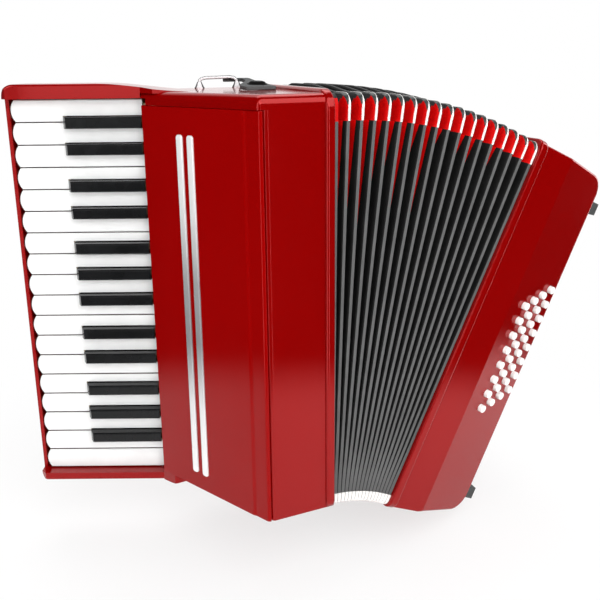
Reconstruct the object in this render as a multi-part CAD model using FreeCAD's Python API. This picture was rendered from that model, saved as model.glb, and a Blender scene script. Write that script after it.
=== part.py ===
import FreeCAD, Part
import math
import os

# Piano accordion, 30 treble keys and 32 bass buttons, held upright with the bellows fanned open.
# Frame: +Z up, origin at the centre of the treble casing's base, treble side towards -X, bass side
# towards +X, the audience side (front) towards -Y.  Millimetres.
# The bass side is drawn with the bellows closed and then turned about the fan pivot.

os.makedirs("parts", exist_ok=True)
Vector = FreeCAD.Vector
X_AXIS = Vector(1, 0, 0)
Y_AXIS = Vector(0, 1, 0)
Z_AXIS = Vector(0, 0, 1)

# ---------------------------------------------------------------- driving dimensions
# casings
HEIGHT = 367.5
DEPTH = 165.0
WALL = 5.0
FIT = 0.1               # clearance round the boards and frames inside the casings
Y_FRONT, Y_BACK = -DEPTH / 2, DEPTH / 2
X_BELLOWS = 33.0        # plane where the treble casing meets the bellows
X_RIDGE = -30.5         # ridge between the flat front and the slanted grille
GRILLE_DX = 66.1        # the grille runs out and back by this much
GRILLE_DY = 118.7
RIM_W = 8.0             # rim round the treble casing at the bellows
BASS_RIM_W = 9.0
RIM_PROUD = 3.0
RIM_R = 10.0
RIM_TOP_FRONT_R = 16.0  # rounder top front corner of the treble rim
RIDGE_R = 3.5
TOP_R = 8.0

# grille panel
SLOT_TOP = 356.0        # top of the opening for the panel
PANEL_Z0, PANEL_Z1 = 0.4, SLOT_TOP - 0.2
PANEL_X = 3.4           # the panel wraps round the ridge by this much
SHOULDER_S = 15.0       # middle of the step between the panel and its border along the ridge
SHOULDER_D = 0.8        # the border lies this much lower
TRIM_W, TRIM_H = 7.0, 1.6
TRIM_Z0, TRIM_Z1 = 17.0, 333.0
TRIM_STATIONS = (88.3, 75.5)    # strip centres, distance from the ridge

# keys
KEY_PITCH = 20.16
KEY_COUNT = 18
KEY_Z_TOP = 361.2       # upper edge of the first white key
KEYS_Z_BOTTOM = KEY_Z_TOP - KEY_PITCH * KEY_COUNT
KEY_LEN = 112.2         # exposed length of a white key
KEY_BULGE = 3.4         # rounded free end
KEY_THICK = 11.0
KEY_GAP = 0.5           # half gap between neighbouring keys
KEY_PLANE_GAP = 5.4     # the key plane's line starts this far behind the grille edge
KEY_DROP = 5.0          # and is set back again, so that the black keys end flush with the grille
KEY_ANGLE = 22.7        # the key plane leans back by this many degrees
BLACK_LEN = 68.6
BLACK_W = 10.0
BLACK_H = 9.0
BLACK_GAP = 0.8         # between a black key and the white keys beside it
# (number of the white key above, z offset from that key's lower joint)
BLACK_KEYS = [(1, -0.2), (2, -3.6), (4, 3.6), (5, -1.0), (7, 6.4), (8, 1.6), (9, -3.2),
              (11, 3.8), (12, -0.9), (14, 6.6), (15, 1.5), (16, -3.3)]
BLACK_CENTRES = [(i, KEY_Z_TOP - KEY_PITCH * i + offset) for i, offset in BLACK_KEYS]

# key action
AXLE_S = -25.0          # key axle, along the key and below its top
AXLE_T = 10.0
AXLE_R = 1.5
AXLE_BORE_R = 1.57
AXLE_Z0 = 2.0
AXLE_LEN = HEIGHT - 2 * AXLE_Z0
LEVER_W = 6.0
LEVER_END_S = -33.0
BOARD_X0, BOARD_X1 = -22.0, -14.0   # treble soundboard
ARM_X = BOARD_X0 - 8.0              # centre of the arm where it lies on the pallet
ARM_HALF = 1.4
PAD_THICK = 2.0
WHITE_ACTION = dict(arm_bend_y=12.0, arm_end_y=-20.0, pallet_y0=-26.0, pallet_y1=3.0,
                    hole_margin_z=1.5)
BLACK_ACTION = dict(arm_bend_y=-14.0, arm_end_y=-54.0, pallet_y0=-60.0, pallet_y1=-33.0,
                    hole_margin_z=2.0)
HOLE_MARGIN_Y = 3.0     # the pallets overlap their holes by this much in y
WHITE_PALLET_W = 12.0
BLACK_PALLET_W = 16.0

# keyboard case
BED_T = 17.5            # key bed below the key tops
BED_THICK = 8.5
CASE_BACK_T = BED_T + BED_THICK
CASE_S0 = -1.9          # edge of the case beside the treble casing
CASE_S = 120.4          # outer edge
CASE_CHAMFER = 5.0
CHEEK_TOP_Z = 374.5
CHEEK_BOTTOM_Z = -10.0
CHEEK_H = 10.0          # the cheeks stand this far above the white keys
TOP_CHEEK_Z0 = KEY_Z_TOP + 0.6
BOTTOM_CHEEK_Z1 = KEYS_Z_BOTTOM - 0.5
SEAT_S = -46.0          # the lower cheek runs under the casing as far as this
SEAT_Z = 1.5
FELT_THICK = 1.2

# bellows
BELLOWS_CLOSED = 57.0
RINGS = 7
PIVOT = Vector(X_BELLOWS + 19.0, 0, -6.0)   # every fold turns about this line
FAN = 24.5              # opening angle, degrees

# bass casing
BASS_X0 = X_BELLOWS + BELLOWS_CLOSED        # plane where the bass casing meets the bellows
BASS_FRONT_W = 42.4     # flat front
BASS_W = 110.3          # whole width
BASS_X1 = BASS_X0 + BASS_W
BASS_CHAMFER = 21.9     # the button facet falls back by this much
BASS_R_TOP = 18.0
BASS_R_BOTTOM = 20.0
COVER_Y0, COVER_Y1 = -43.0, 66.0            # opening for the end cover
COVER_Z0, COVER_Z1 = 27.0, 340.0
COVER_THICK = 4.0
COVER_LEDGE = 7.0       # the inner opening is smaller by this much all round
COVER_GAP = 0.2
SCREW_INSET = 5.0
SCREW_HOLE_R = 1.6
SCREWS = [(y, z) for y in (COVER_Y0 + SCREW_INSET, COVER_Y1 - SCREW_INSET)
          for z in (COVER_Z0 + SCREW_INSET, 183.0, COVER_Z1 - SCREW_INSET)]
STRAP_Y0, STRAP_Y1 = -4.0, 46.0             # hand strap
STRAP_Z0, STRAP_Z1 = 46.0, 318.0            # its slots in the cover
STRAP_HALF = 1.6        # half thickness of its ends
AIR_Y, AIR_Z = -26.0, 292.0
WHEEL_X, WHEEL_Y, WHEEL_Z = BASS_X1 - 8.0, 16.0, 350.0

# bass buttons
BUTTON_R = 3.8
BUTTON_HOLE_R = 3.95
BUTTON_COLS = [58.1, 46.6, 35.1, 23.6]      # distance from the facet's front edge
BUTTON_ROWS = 8
BUTTON_Z0 = 246.0       # top button of the first column
BUTTON_PITCH = 15.55
BUTTON_SLANT = 7.9      # each column lies this much lower than the one before
BUTTON_PROUD = 4.4

# ---------------------------------------------------------------- slanted planes
KEY_TILT = math.radians(KEY_ANGLE)
KEY_DIR = Vector(-math.cos(KEY_TILT), math.sin(KEY_TILT), 0)    # towards a key's free end
KEY_OUT = Vector(-math.sin(KEY_TILT), -math.cos(KEY_TILT), 0)   # out of the key tops
CORNER = Vector(X_RIDGE - GRILLE_DX, Y_FRONT + GRILLE_DY, 0)    # outer edge of the grille
KEY_ORIGIN = CORNER + Vector(0, KEY_PLANE_GAP, 0) - KEY_OUT * KEY_DROP

RIDGE = Vector(X_RIDGE, Y_FRONT, 0)
GRILLE_LEN = math.hypot(GRILLE_DX, GRILLE_DY)
GRILLE_DIR = Vector(-GRILLE_DX / GRILLE_LEN, GRILLE_DY / GRILLE_LEN, 0)   # away from the ridge
GRILLE_OUT = Vector(-GRILLE_DY / GRILLE_LEN, -GRILLE_DX / GRILLE_LEN, 0)

FACET_START = Vector(BASS_X0 + BASS_FRONT_W, Y_FRONT, 0)
FACET_LEN = math.hypot(BASS_W - BASS_FRONT_W, BASS_CHAMFER)
FACET_DIR = (Vector(BASS_X1, Y_FRONT + BASS_CHAMFER, 0) - FACET_START).normalize()
FACET_OUT = Vector(FACET_DIR.y, -FACET_DIR.x, 0)


def key_point(s, t, z):
    """s along the key, t below the key tops, at height z"""
    return KEY_ORIGIN + KEY_DIR * s - KEY_OUT * t + Vector(0, 0, z)


def key_xy(s, t):
    p = key_point(s, t, 0)
    return (p.x, p.y)


def grille_xy(s, d):
    """s from the ridge along the grille, d outwards"""
    p = RIDGE + GRILLE_DIR * s + GRILLE_OUT * d
    return (p.x, p.y)


def facet_xy(v, d):
    """v along the button facet from its front edge, d outwards"""
    p = FACET_START + FACET_DIR * v + FACET_OUT * d
    return (p.x, p.y)


AXLE_X, AXLE_Y = key_xy(AXLE_S, AXLE_T)
BUTTON_CENTRES = [[Vector(*facet_xy(v, 0), BUTTON_Z0 - BUTTON_PITCH * row - BUTTON_SLANT * col)
                   for row in range(BUTTON_ROWS)] for col, v in enumerate(BUTTON_COLS)]

# ---------------------------------------------------------------- helpers


def box(x0, x1, y0, y1, z0, z1):
    return Part.makeBox(x1 - x0, y1 - y0, z1 - z0, Vector(x0, y0, z0))


def inside_block(x0, x1):
    """block that fills a casing's inside, less the fit"""
    gap = WALL + FIT
    return box(x0, x1, Y_FRONT + gap, Y_BACK - gap, gap, HEIGHT - gap)


def extruded(points, path):
    """closed polygon of vectors, extruded along the path"""
    return Part.Face(Part.makePolygon(points + points[:1])).extrude(path)


def prism(outline, z0, z1):
    """outline in (x, y)"""
    return extruded([Vector(x, y, z0) for x, y in outline], Vector(0, 0, z1 - z0))


def key_prism(outline, z0, z1):
    """outline in key coordinates (s, t)"""
    return prism([key_xy(s, t) for s, t in outline], z0, z1)


def key_box(s0, s1, t0, t1, z0, z1):
    return key_prism([(s0, t0), (s1, t0), (s1, t1), (s0, t1)], z0, z1)


def key_plane_prism(outline, depth):
    """outline in (s, z), extruded backwards from 20 mm above the key tops"""
    return extruded([key_point(s, -20.0, z) for s, z in outline], -KEY_OUT * depth)


def rod(radius, x, y, z, length, axis=Z_AXIS):
    return Part.makeCylinder(radius, length, Vector(x, y, z), axis)


def edges_at_x(shape, x):
    return [e for e in shape.Edges if abs(e.CenterOfMass.x - x) < 1e-6]


def x_extent(edge):
    return abs(edge.Vertexes[0].Point.x - edge.Vertexes[1].Point.x)


def fillet_or_sharp(shape, radius, edges):
    """guards fillets that the kernel may refuse: the edges then stay sharp"""
    try:
        return shape.makeFillet(radius, edges)
    except Exception:
        return shape


def fanned(shape, share=1.0):
    turned = shape.copy()
    turned.rotate(PIVOT, Y_AXIS, FAN * share)
    return turned


def group(shapes):
    return Part.makeCompound(shapes)


def save(name, shape):
    shape.exportStep("parts/" + name + ".step")


def bellows_rim(x_case, x_bellows, top_front_r=None):
    """proud rim round a casing; x_bellows is its face towards the bellows"""
    y0, z1 = Y_FRONT - RIM_PROUD, HEIGHT + RIM_PROUD
    rim = box(min(x_case, x_bellows), max(x_case, x_bellows),
              y0, Y_BACK + RIM_PROUD, -RIM_PROUD, z1)
    corners = [e for e in rim.Edges if x_extent(e) > 1]
    if top_front_r is not None:
        top_front = [e for e in corners if abs(e.CenterOfMass.y - y0) < 1e-6
                     and abs(e.CenterOfMass.z - z1) < 1e-6]
        rim = rim.makeFillet(top_front_r, top_front)
        corners = [e for e in rim.Edges if e.Length > 1 and x_extent(e) > 1
                   and not (e.CenterOfMass.y < y0 + top_front_r + 0.1
                            and e.CenterOfMass.z > z1 - top_front_r - 0.1)]
    rim = rim.makeFillet(RIM_R, corners)
    rim = rim.makeFillet(2.6, edges_at_x(rim, x_case))
    return rim.makeFillet(1.6, edges_at_x(rim, x_bellows))


# ---------------------------------------------------------------- treble casing
CASING_OUTLINE = [(X_BELLOWS, Y_FRONT), (X_RIDGE, Y_FRONT), (CORNER.x, CORNER.y),
                  key_xy(-2.08, 26.5), (-60.0, Y_BACK), (X_BELLOWS, Y_BACK)]


def casing_top_edges(body):
    """top edges along the front and the grille"""
    found = []
    for e in body.Edges:
        points = [v.Point for v in e.Vertexes]
        if (e.Length > 1.0 and all(abs(p.z - HEIGHT) < 1e-6 for p in points)
                and not all(abs(p.x - X_BELLOWS) < 1e-6 for p in points)
                and max(p.y for p in points) < CORNER.y + 1):
            found.append(e)
    return found


def make_treble_casing():
    body = prism(CASING_OUTLINE, 0, HEIGHT)
    ridge_edge = [e for e in body.Edges if abs(e.CenterOfMass.x - X_RIDGE) < 1e-6
                  and abs(e.CenterOfMass.y - Y_FRONT) < 1e-6]
    sharp_top_edges = casing_top_edges(body)
    # guards the large top fillet, which falls back to a small one
    try:
        body = body.makeFillet(RIDGE_R, ridge_edge)
        body = body.makeFillet(TOP_R, casing_top_edges(body))
    except Exception:
        body = body.makeFillet(3.0, sharp_top_edges)
    body = body.fuse(bellows_rim(X_BELLOWS - RIM_W, X_BELLOWS, RIM_TOP_FRONT_R))

    cavity = [(X_BELLOWS + 1, Y_FRONT + WALL), (X_RIDGE + 7.0, Y_FRONT + WALL),
              grille_xy(10.0, -8.5), grille_xy(14.0, -4.5), grille_xy(GRILLE_LEN - 0.2, -4.5),
              key_xy(-2.3, 1.0), key_xy(-2.3, 21.5),
              (-58.5, Y_BACK - WALL), (X_BELLOWS + 1, Y_BACK - WALL)]
    body = body.cut(prism(cavity, WALL, HEIGHT - WALL))

    # opening for the grille panel, closed above by a lip
    slot_x = X_RIDGE + PANEL_X + 0.4
    slot = [(slot_x, Y_FRONT - 6.7), (slot_x, Y_FRONT + 4.2), (X_RIDGE + 2.93, Y_FRONT + 4.2),
            grille_xy(GRILLE_LEN + 6, -4.6), grille_xy(GRILLE_LEN + 6, 3.0),
            (X_RIDGE + 0.3, Y_FRONT - 6.7)]
    body = body.cut(prism(slot, -1.0, SLOT_TOP))

    # rounded edge of the front wall beside the slot
    edge_r = 4.0
    edge_cut = box(slot_x - 1, slot_x + edge_r, Y_FRONT - 1, Y_FRONT + edge_r, -1.0, SLOT_TOP)
    body = body.cut(edge_cut.cut(rod(edge_r, slot_x + edge_r, Y_FRONT + edge_r, -2.0, 360.0)))

    # small step over the keyboard beside the first key
    step_s0, step_s1 = GRILLE_LEN - 6.5, GRILLE_LEN + 6
    step = [grille_xy(step_s0, 4.0), grille_xy(step_s1, 4.0),
            grille_xy(step_s1, -9.0), grille_xy(step_s0, -9.0)]
    body = body.cut(prism(step, SLOT_TOP - 0.1, TOP_CHEEK_Z0))

    # shallow seat for the end of the lower cheek
    seat_end = SEAT_S - 0.06
    body = body.cut(key_plane_prism([(-1.0, SEAT_Z), (seat_end, SEAT_Z),
                                     (seat_end, -1.0), (-1.0, -1.0)], 46.1))
    # opening towards the keyboard
    body = body.cut(key_box(-8, 2, -9, 17.4, WALL, HEIGHT - WALL))
    body = body.cut(rod(AXLE_R + 0.01, AXLE_X, AXLE_Y, AXLE_Z0 - 0.1, AXLE_LEN + 0.2))
    return body.removeSplitter()


# ---------------------------------------------------------------- grille panel and trim
# step down to the panel's border: (distance from SHOULDER_S, share of SHOULDER_D)
SHOULDER = [(-2.5, 1.0), (-1.5, 0.93), (-0.5, 0.75), (0.5, 0.42), (1.5, 0.12), (2.5, 0.0)]


def make_treble_grille():
    apex_x = X_RIDGE + SHOULDER_D * GRILLE_LEN / GRILLE_DY
    outline = [(X_RIDGE + PANEL_X, Y_FRONT), (apex_x, Y_FRONT)]
    outline += [grille_xy(SHOULDER_S + ds, -SHOULDER_D * share) for ds, share in SHOULDER]
    outline += [grille_xy(GRILLE_LEN, 0), grille_xy(GRILLE_LEN, -4.2),
                grille_xy(GRILLE_LEN - 3.4, -4.2), grille_xy(GRILLE_LEN - 3.4, -3.4),
                (X_RIDGE + 2.22, Y_FRONT + 3.0), (X_RIDGE + PANEL_X, Y_FRONT + 3.0)]
    panel = prism(outline, PANEL_Z0, PANEL_Z1)
    panel = panel.makeFillet(RIDGE_R, [e for e in panel.Edges
                                       if abs(e.CenterOfMass.x - apex_x) < 0.01
                                       and abs(e.CenterOfMass.y - Y_FRONT) < 0.01
                                       and e.Length > 100])
    outer_edge = [e for e in panel.Edges
                  if abs((e.CenterOfMass - RIDGE).dot(GRILLE_DIR) - GRILLE_LEN) < 0.2
                  and abs((e.CenterOfMass - RIDGE).dot(GRILLE_OUT)) < 0.2 and e.Length > 100]
    panel = panel.makeFillet(0.9, outer_edge)
    top_edges = [e for e in panel.Edges if abs(e.CenterOfMass.z - PANEL_Z1) < 1e-6
                 and (e.CenterOfMass - RIDGE).dot(GRILLE_OUT) > -1.2 and e.Length > 0.5]
    return fillet_or_sharp(panel, 1.2, top_edges)


def trim_strip(s):
    s0, s1 = s - TRIM_W / 2, s + TRIM_W / 2
    strip = prism([grille_xy(s0, 0), grille_xy(s1, 0), grille_xy(s1, TRIM_H),
                   grille_xy(s0, TRIM_H)], TRIM_Z0, TRIM_Z1)
    # rounded ends, then the long outer edges
    ends = [e for e in strip.Edges if abs(abs(
        (e.Vertexes[0].Point - e.Vertexes[1].Point).dot(GRILLE_OUT)) - TRIM_H) < 1e-4]
    strip = strip.makeFillet(2.6, ends)
    long_edges = [e for e in strip.Edges
                  if abs((e.CenterOfMass - RIDGE).dot(GRILLE_OUT) - TRIM_H) < 1e-4
                  and e.Length > 50]
    return strip.makeFillet(0.9, long_edges)


# ---------------------------------------------------------------- keyboard case
# (s, z) line down to which the top cheek sinks towards the casing
TOP_SINK = [(36.0, CHEEK_TOP_Z), (26.0, CHEEK_TOP_Z - 0.4), (16.0, CHEEK_TOP_Z - 1.2),
            (6.0, CHEEK_TOP_Z - 2.3), (-3.0, CHEEK_TOP_Z - 3.4)]
# (s, z) outlines of the swellings that run out over and under the casing
TOP_SWELLING = [(CASE_S0, CHEEK_TOP_Z - 3.2), (-8.0, 370.6), (-15.0, 369.7), (-24.0, 368.8),
                (-34.0, 368.0), (-46.0, 367.55)]
BOTTOM_SWELLING = [(CASE_S0, CHEEK_BOTTOM_Z), (-10.0, -9.6), (-18.0, -8.2), (-27.0, -5.4),
                   (-36.0, -2.3), (SEAT_S, -0.3)]


def cheek(z0, z1):
    return key_prism([(CASE_S0, -CHEEK_H), (CASE_S - CASE_CHAMFER, -CHEEK_H),
                      (CASE_S, -CHEEK_H + CASE_CHAMFER), (CASE_S, CASE_BACK_T - CASE_CHAMFER),
                      (CASE_S - CASE_CHAMFER, CASE_BACK_T), (CASE_S0, CASE_BACK_T)], z0, z1)


def case_corner_cut(up, z_edge, radius):
    """what lies outside a quarter circle at the free edge of the case; up is 1 or -1"""
    s0 = CASE_S - radius
    z0 = z_edge - up * radius
    s1 = s0 + radius + 5
    z1 = z0 + up * (radius + 5)
    square = key_plane_prism([(s0, z0), (s1, z0), (s1, z1), (s0, z1)], 60)
    return square.cut(Part.makeCylinder(radius, 62, key_point(s0, -21, z0), -KEY_OUT))


def swelling(profile, z_inner, casing, grille):
    """solid between the profile and the level z_inner, over the casing's outline only"""
    outline = [(CASE_S0, z_inner)] + profile + [(profile[-1][0], z_inner)]
    z0, z1 = -20, HEIGHT + 20
    link = key_box(-1.8, -2.6, -CHEEK_H, CASE_BACK_T, z0, z1)
    solid = key_plane_prism(outline, 46.0).common(prism(CASING_OUTLINE, z0, z1).fuse(link))
    return solid.cut(casing).cut(grille)


def make_keyboard_case(casing, grille):
    bed = key_prism([(CASE_S0, BED_T), (CASE_S - 3.4, BED_T), (CASE_S - 3.4, 2.0), (CASE_S, 2.0),
                     (CASE_S, CASE_BACK_T - CASE_CHAMFER), (CASE_S - CASE_CHAMFER, CASE_BACK_T),
                     (CASE_S0, CASE_BACK_T)], CHEEK_BOTTOM_Z, CHEEK_TOP_Z)
    case = bed.fuse(cheek(TOP_CHEEK_Z0, CHEEK_TOP_Z)).fuse(cheek(CHEEK_BOTTOM_Z, BOTTOM_CHEEK_Z1))
    case = case.removeSplitter()
    case = case.cut(case_corner_cut(1, CHEEK_TOP_Z, 12.0))
    case = case.cut(case_corner_cut(-1, CHEEK_BOTTOM_Z, 7.0))
    # soft edge along the outer faces of both cheeks
    soft = [e for e in case.Edges if e.Length > 60
            and abs((e.CenterOfMass - KEY_ORIGIN).dot(KEY_OUT) - CHEEK_H) < 0.01
            and (abs(e.CenterOfMass.z - CHEEK_TOP_Z) < 0.01
                 or abs(e.CenterOfMass.z - CHEEK_BOTTOM_Z) < 0.01)]
    case = fillet_or_sharp(case, 2.0, soft)
    above = [(-3.0, CHEEK_TOP_Z + 5), (36.0, CHEEK_TOP_Z + 5)]
    case = case.cut(key_plane_prism(TOP_SINK + above, 60))
    top = swelling(TOP_SWELLING, 366.0, casing, grille)
    bottom = swelling(BOTTOM_SWELLING, SEAT_Z, casing, grille)
    case = case.fuse(top).fuse(bottom).removeSplitter()
    case = max(case.Solids, key=lambda solid: solid.Volume)
    # felt under the keys, on the bed
    felt = key_box(96, 112, BED_T - FELT_THICK, BED_T, KEYS_Z_BOTTOM, KEY_Z_TOP)
    return group([case, felt])


# ---------------------------------------------------------------- keys


def neck_range(i):
    """z range left to white key i between the black keys beside it"""
    reach = BLACK_W / 2 + BLACK_GAP
    low = KEY_Z_TOP - KEY_PITCH * i + KEY_GAP
    high = KEY_Z_TOP - KEY_PITCH * (i - 1) - KEY_GAP
    for j, black_z in BLACK_CENTRES:
        if j == i:
            low = max(low, black_z + reach)
        if j == i - 1:
            high = min(high, black_z - reach)
    return max(low, WALL + 1.2), min(high, HEIGHT - WALL - 1.2)


def lever(z):
    """lever on the axle"""
    body = key_prism([(-0.5, 3.2), (-0.5, 10.8), (-12, 15.0), (LEVER_END_S, 15.0),
                      (LEVER_END_S, 3.2)], z - LEVER_W / 2, z + LEVER_W / 2)
    return body.cut(rod(AXLE_BORE_R, AXLE_X, AXLE_Y, z - LEVER_W, 2 * LEVER_W))


def arm(z, action):
    """arm from the lever's end to the pallet"""
    bend, end = action["arm_bend_y"], action["arm_end_y"]
    return prism([key_xy(LEVER_END_S, 5.0), key_xy(LEVER_END_S, 9.0),
                  (ARM_X + ARM_HALF, bend), (ARM_X + ARM_HALF, end),
                  (ARM_X - ARM_HALF, end), (ARM_X - ARM_HALF, bend - 2.0)], z - 1.2, z + 1.2)


def save_key(name, key_top, z, pallet_w, action):
    """adds lever, arm, pallet and pad to a key and saves it; returns its soundboard hole"""
    key = key_top.fuse(lever(z)).removeSplitter()
    y0, y1 = action["pallet_y0"], action["pallet_y1"]
    z0, z1 = z - pallet_w / 2, z + pallet_w / 2
    wood = box(ARM_X + ARM_HALF, BOARD_X0 - PAD_THICK, y0, y1, z0, z1)
    pad = box(BOARD_X0 - PAD_THICK, BOARD_X0, y0, y1, z0, z1)
    save(name, group([key, arm(z, action).cut(key).cut(wood), wood, pad]))
    margin = action["hole_margin_z"]
    return box(BOARD_X0 - 1, BOARD_X1 + 1, y0 + HOLE_MARGIN_Y, y1 - HOLE_MARGIN_Y,
               z0 + margin, z1 - margin)


def white_key_top(i):
    z0 = KEY_Z_TOP - KEY_PITCH * i + KEY_GAP
    z1 = KEY_Z_TOP - KEY_PITCH * (i - 1) - KEY_GAP
    inner_low, inner_high = key_point(-1.2, 0, z0), key_point(-1.2, 0, z1)
    free_low, free_high = key_point(KEY_LEN, 0, z0), key_point(KEY_LEN, 0, z1)
    tip = key_point(KEY_LEN + KEY_BULGE, 0, (z0 + z1) / 2)
    outline = Part.Wire([Part.makeLine(inner_low, free_low),
                         Part.Arc(free_low, tip, free_high).toShape(),
                         Part.makeLine(free_high, inner_high),
                         Part.makeLine(inner_high, inner_low)])
    key = Part.Face(outline).extrude(-KEY_OUT * KEY_THICK)
    playing_edges = [
        e for e in key.Edges
        if all(abs((v.Point - KEY_ORIGIN).dot(KEY_OUT)) < 0.01 for v in e.Vertexes)
        and max((v.Point - KEY_ORIGIN).dot(KEY_DIR) for v in e.Vertexes) > 20]
    key = key.makeChamfer(0.8, playing_edges)
    reach = BLACK_W / 2 + BLACK_GAP
    for j, black_z in BLACK_CENTRES:
        if j in (i, i - 1):
            key = key.cut(key_box(-5, BLACK_LEN + 1.2, -2, KEY_THICK + 2,
                                  black_z - reach, black_z + reach))
    return key


def black_key_top(z):
    key = key_prism([(-0.95, KEY_THICK), (-0.95, -BLACK_H), (BLACK_LEN - 3.2, -BLACK_H),
                     (BLACK_LEN, -BLACK_H + 5.5), (BLACK_LEN, KEY_THICK)],
                    z - BLACK_W / 2, z + BLACK_W / 2)
    long_edges = [e for e in key.Edges if e.Length > 30
                  and abs((e.CenterOfMass - KEY_ORIGIN).dot(KEY_OUT) - BLACK_H) < 0.05]
    return fillet_or_sharp(key, 1.6, long_edges)


def save_keys():
    """saves every key; returns the soundboard holes"""
    holes = []
    for i in range(1, KEY_COUNT + 1):
        low, high = neck_range(i)
        holes.append(save_key("white_key_%02d" % i, white_key_top(i), (low + high) / 2,
                              min(WHITE_PALLET_W, high - low), WHITE_ACTION))
    for n, (_, z) in enumerate(BLACK_CENTRES):
        holes.append(save_key("black_key_%02d" % (n + 1), black_key_top(z), z,
                              BLACK_PALLET_W, BLACK_ACTION))
    return holes


# ---------------------------------------------------------------- treble reeds
REED_BLOCK_Y = (-56.0, -22.0, 20.0)
REED_BLOCK_W = 16.0
PLATE_THICK = 1.2
PLATE_LEN = 25.0
PLATE_PITCH = 28.0
PLATE_COUNT = 12        # on each side of a block


def make_treble_reed_assembly(holes):
    board = inside_block(BOARD_X0, BOARD_X1).cut(group(holes))
    return group([board] + [box(BOARD_X1, 12.0, y, y + REED_BLOCK_W, 14.0, 354.0)
                            for y in REED_BLOCK_Y])


def make_treble_reed_plates():
    plates = []
    for block_y in REED_BLOCK_Y:
        for n in range(PLATE_COUNT):
            z = 17.0 + PLATE_PITCH * n
            for y in (block_y - PLATE_THICK, block_y + REED_BLOCK_W):
                plates.append(box(BOARD_X1 + 2.0, 10.0, y, y + PLATE_THICK, z, z + PLATE_LEN))
    return group(plates)


# ---------------------------------------------------------------- bellows


def bellows_frame(x0, x1):
    side, end = WALL + 13, WALL + 3.0 + WALL - 5.0 + 5.0
    return inside_block(x0, x1).cut(box(x0 - 1, x1 + 1, Y_FRONT + side, Y_BACK - side,
                                        end, HEIGHT - end)) if False else \
        inside_block(x0, x1).cut(box(x0 - 1, x1 + 1, Y_FRONT + side, Y_BACK - side,
                                     WALL + 8.0, HEIGHT - WALL - 8.0))


def bellows_ring(k):
    """ring body of two folds, number k from the treble side"""
    pitch = BELLOWS_CLOSED / RINGS
    x0 = X_BELLOWS + pitch * k + 0.15
    x1 = X_BELLOWS + pitch * (k + 1) - 0.15
    quarter = (x1 - x0) / 4.0
    outer_y, inner_y = 81.0, 60.0
    inner_z = 22.0
    valley = 7.0
    ring = box(x0, x1, -outer_y, outer_y, 0.0, HEIGHT - 1.0)
    ring = ring.cut(box(x0 - 1, x1 + 1, -inner_y, inner_y, inner_z, HEIGHT - inner_z))
    # the valley between the two folds, all round
    groove = box(x0 + quarter * 1.6, x0 + quarter * 2.4, -outer_y - 1, outer_y + 1, 0, HEIGHT)
    groove = groove.cut(box(x0, x1, -outer_y + valley, outer_y - valley, 8.0, HEIGHT - 8.0))
    return fanned(ring.cut(groove), (k + 0.5) / RINGS)


# ---------------------------------------------------------------- bass casing


def end_cut(z_edge, up, radius):
    """what lies outside a quarter circle at the bass end; up is 1 or -1"""
    x0, z0, z1 = BASS_X1 - radius, z_edge - up * radius, z_edge + up * 5
    square = box(x0, BASS_X1 + 5, -100, 100, min(z0, z1), max(z0, z1))
    return square.cut(rod(radius, x0, -200, z0, 400, Y_AXIS))


def make_bass_casing():
    end = BASS_X1
    bass = prism([(BASS_X0, Y_FRONT), (BASS_X0 + BASS_FRONT_W, Y_FRONT),
                  (end, Y_FRONT + BASS_CHAMFER), (end, Y_BACK), (BASS_X0, Y_BACK)], 0, HEIGHT)
    bass = bass.cut(end_cut(HEIGHT, 1, BASS_R_TOP)).cut(end_cut(0.0, -1, BASS_R_BOTTOM))
    top_front = [e for e in bass.Edges if abs(e.CenterOfMass.z - HEIGHT) < 0.01
                 and e.CenterOfMass.y < Y_FRONT + BASS_CHAMFER
                 and e.Length > 20 and x_extent(e) > 5]
    bass = fillet_or_sharp(bass, 2.5, top_front)
    bass = bass.fuse(bellows_rim(BASS_X0 + BASS_RIM_W, BASS_X0))

    cavity = prism([(BASS_X0 - 1, Y_FRONT + WALL), (BASS_X0 + BASS_FRONT_W - 1, Y_FRONT + WALL),
                    facet_xy(FACET_LEN, -WALL), (end - WALL, Y_FRONT + BASS_CHAMFER + 6),
                    (end - WALL, Y_BACK - WALL), (BASS_X0 - 1, Y_BACK - WALL)],
                   WALL, HEIGHT - WALL)
    # the rounded ends stay solid
    cavity = cavity.cut(box(end - 24, end, -100, 100, HEIGHT - 23.0, HEIGHT))
    cavity = cavity.cut(box(end - 26, end, -100, 100, 0, 25.0))
    bass = bass.cut(cavity)

    # end opening with a rebate for the cover
    bass = bass.cut(box(end - COVER_THICK, end + 1, COVER_Y0, COVER_Y1, COVER_Z0, COVER_Z1))
    bass = bass.cut(box(end - 6.0, end + 1, COVER_Y0 + COVER_LEDGE, COVER_Y1 - COVER_LEDGE,
                        COVER_Z0 + COVER_LEDGE, COVER_Z1 - COVER_LEDGE))
    # slot and bore for the strap adjuster wheel
    bass = bass.cut(box(WHEEL_X - 13.0, end + 1, WHEEL_Y - 13.5, WHEEL_Y + 13.5,
                        WHEEL_Z - 4.4, WHEEL_Z + 4.4))
    bass = bass.cut(rod(3.06, WHEEL_X, WHEEL_Y, 330.0, 29.0))
    bass = bass.cut(group([Part.makeCylinder(BUTTON_HOLE_R, 20, p + FACET_OUT * 8, -FACET_OUT)
                           for column in BUTTON_CENTRES for p in column]))
    bass = bass.removeSplitter()
    for y, z in SCREWS:
        bass = bass.cut(rod(SCREW_HOLE_R, end - 5.0, y, z, 10, X_AXIS))
    return bass


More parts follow.
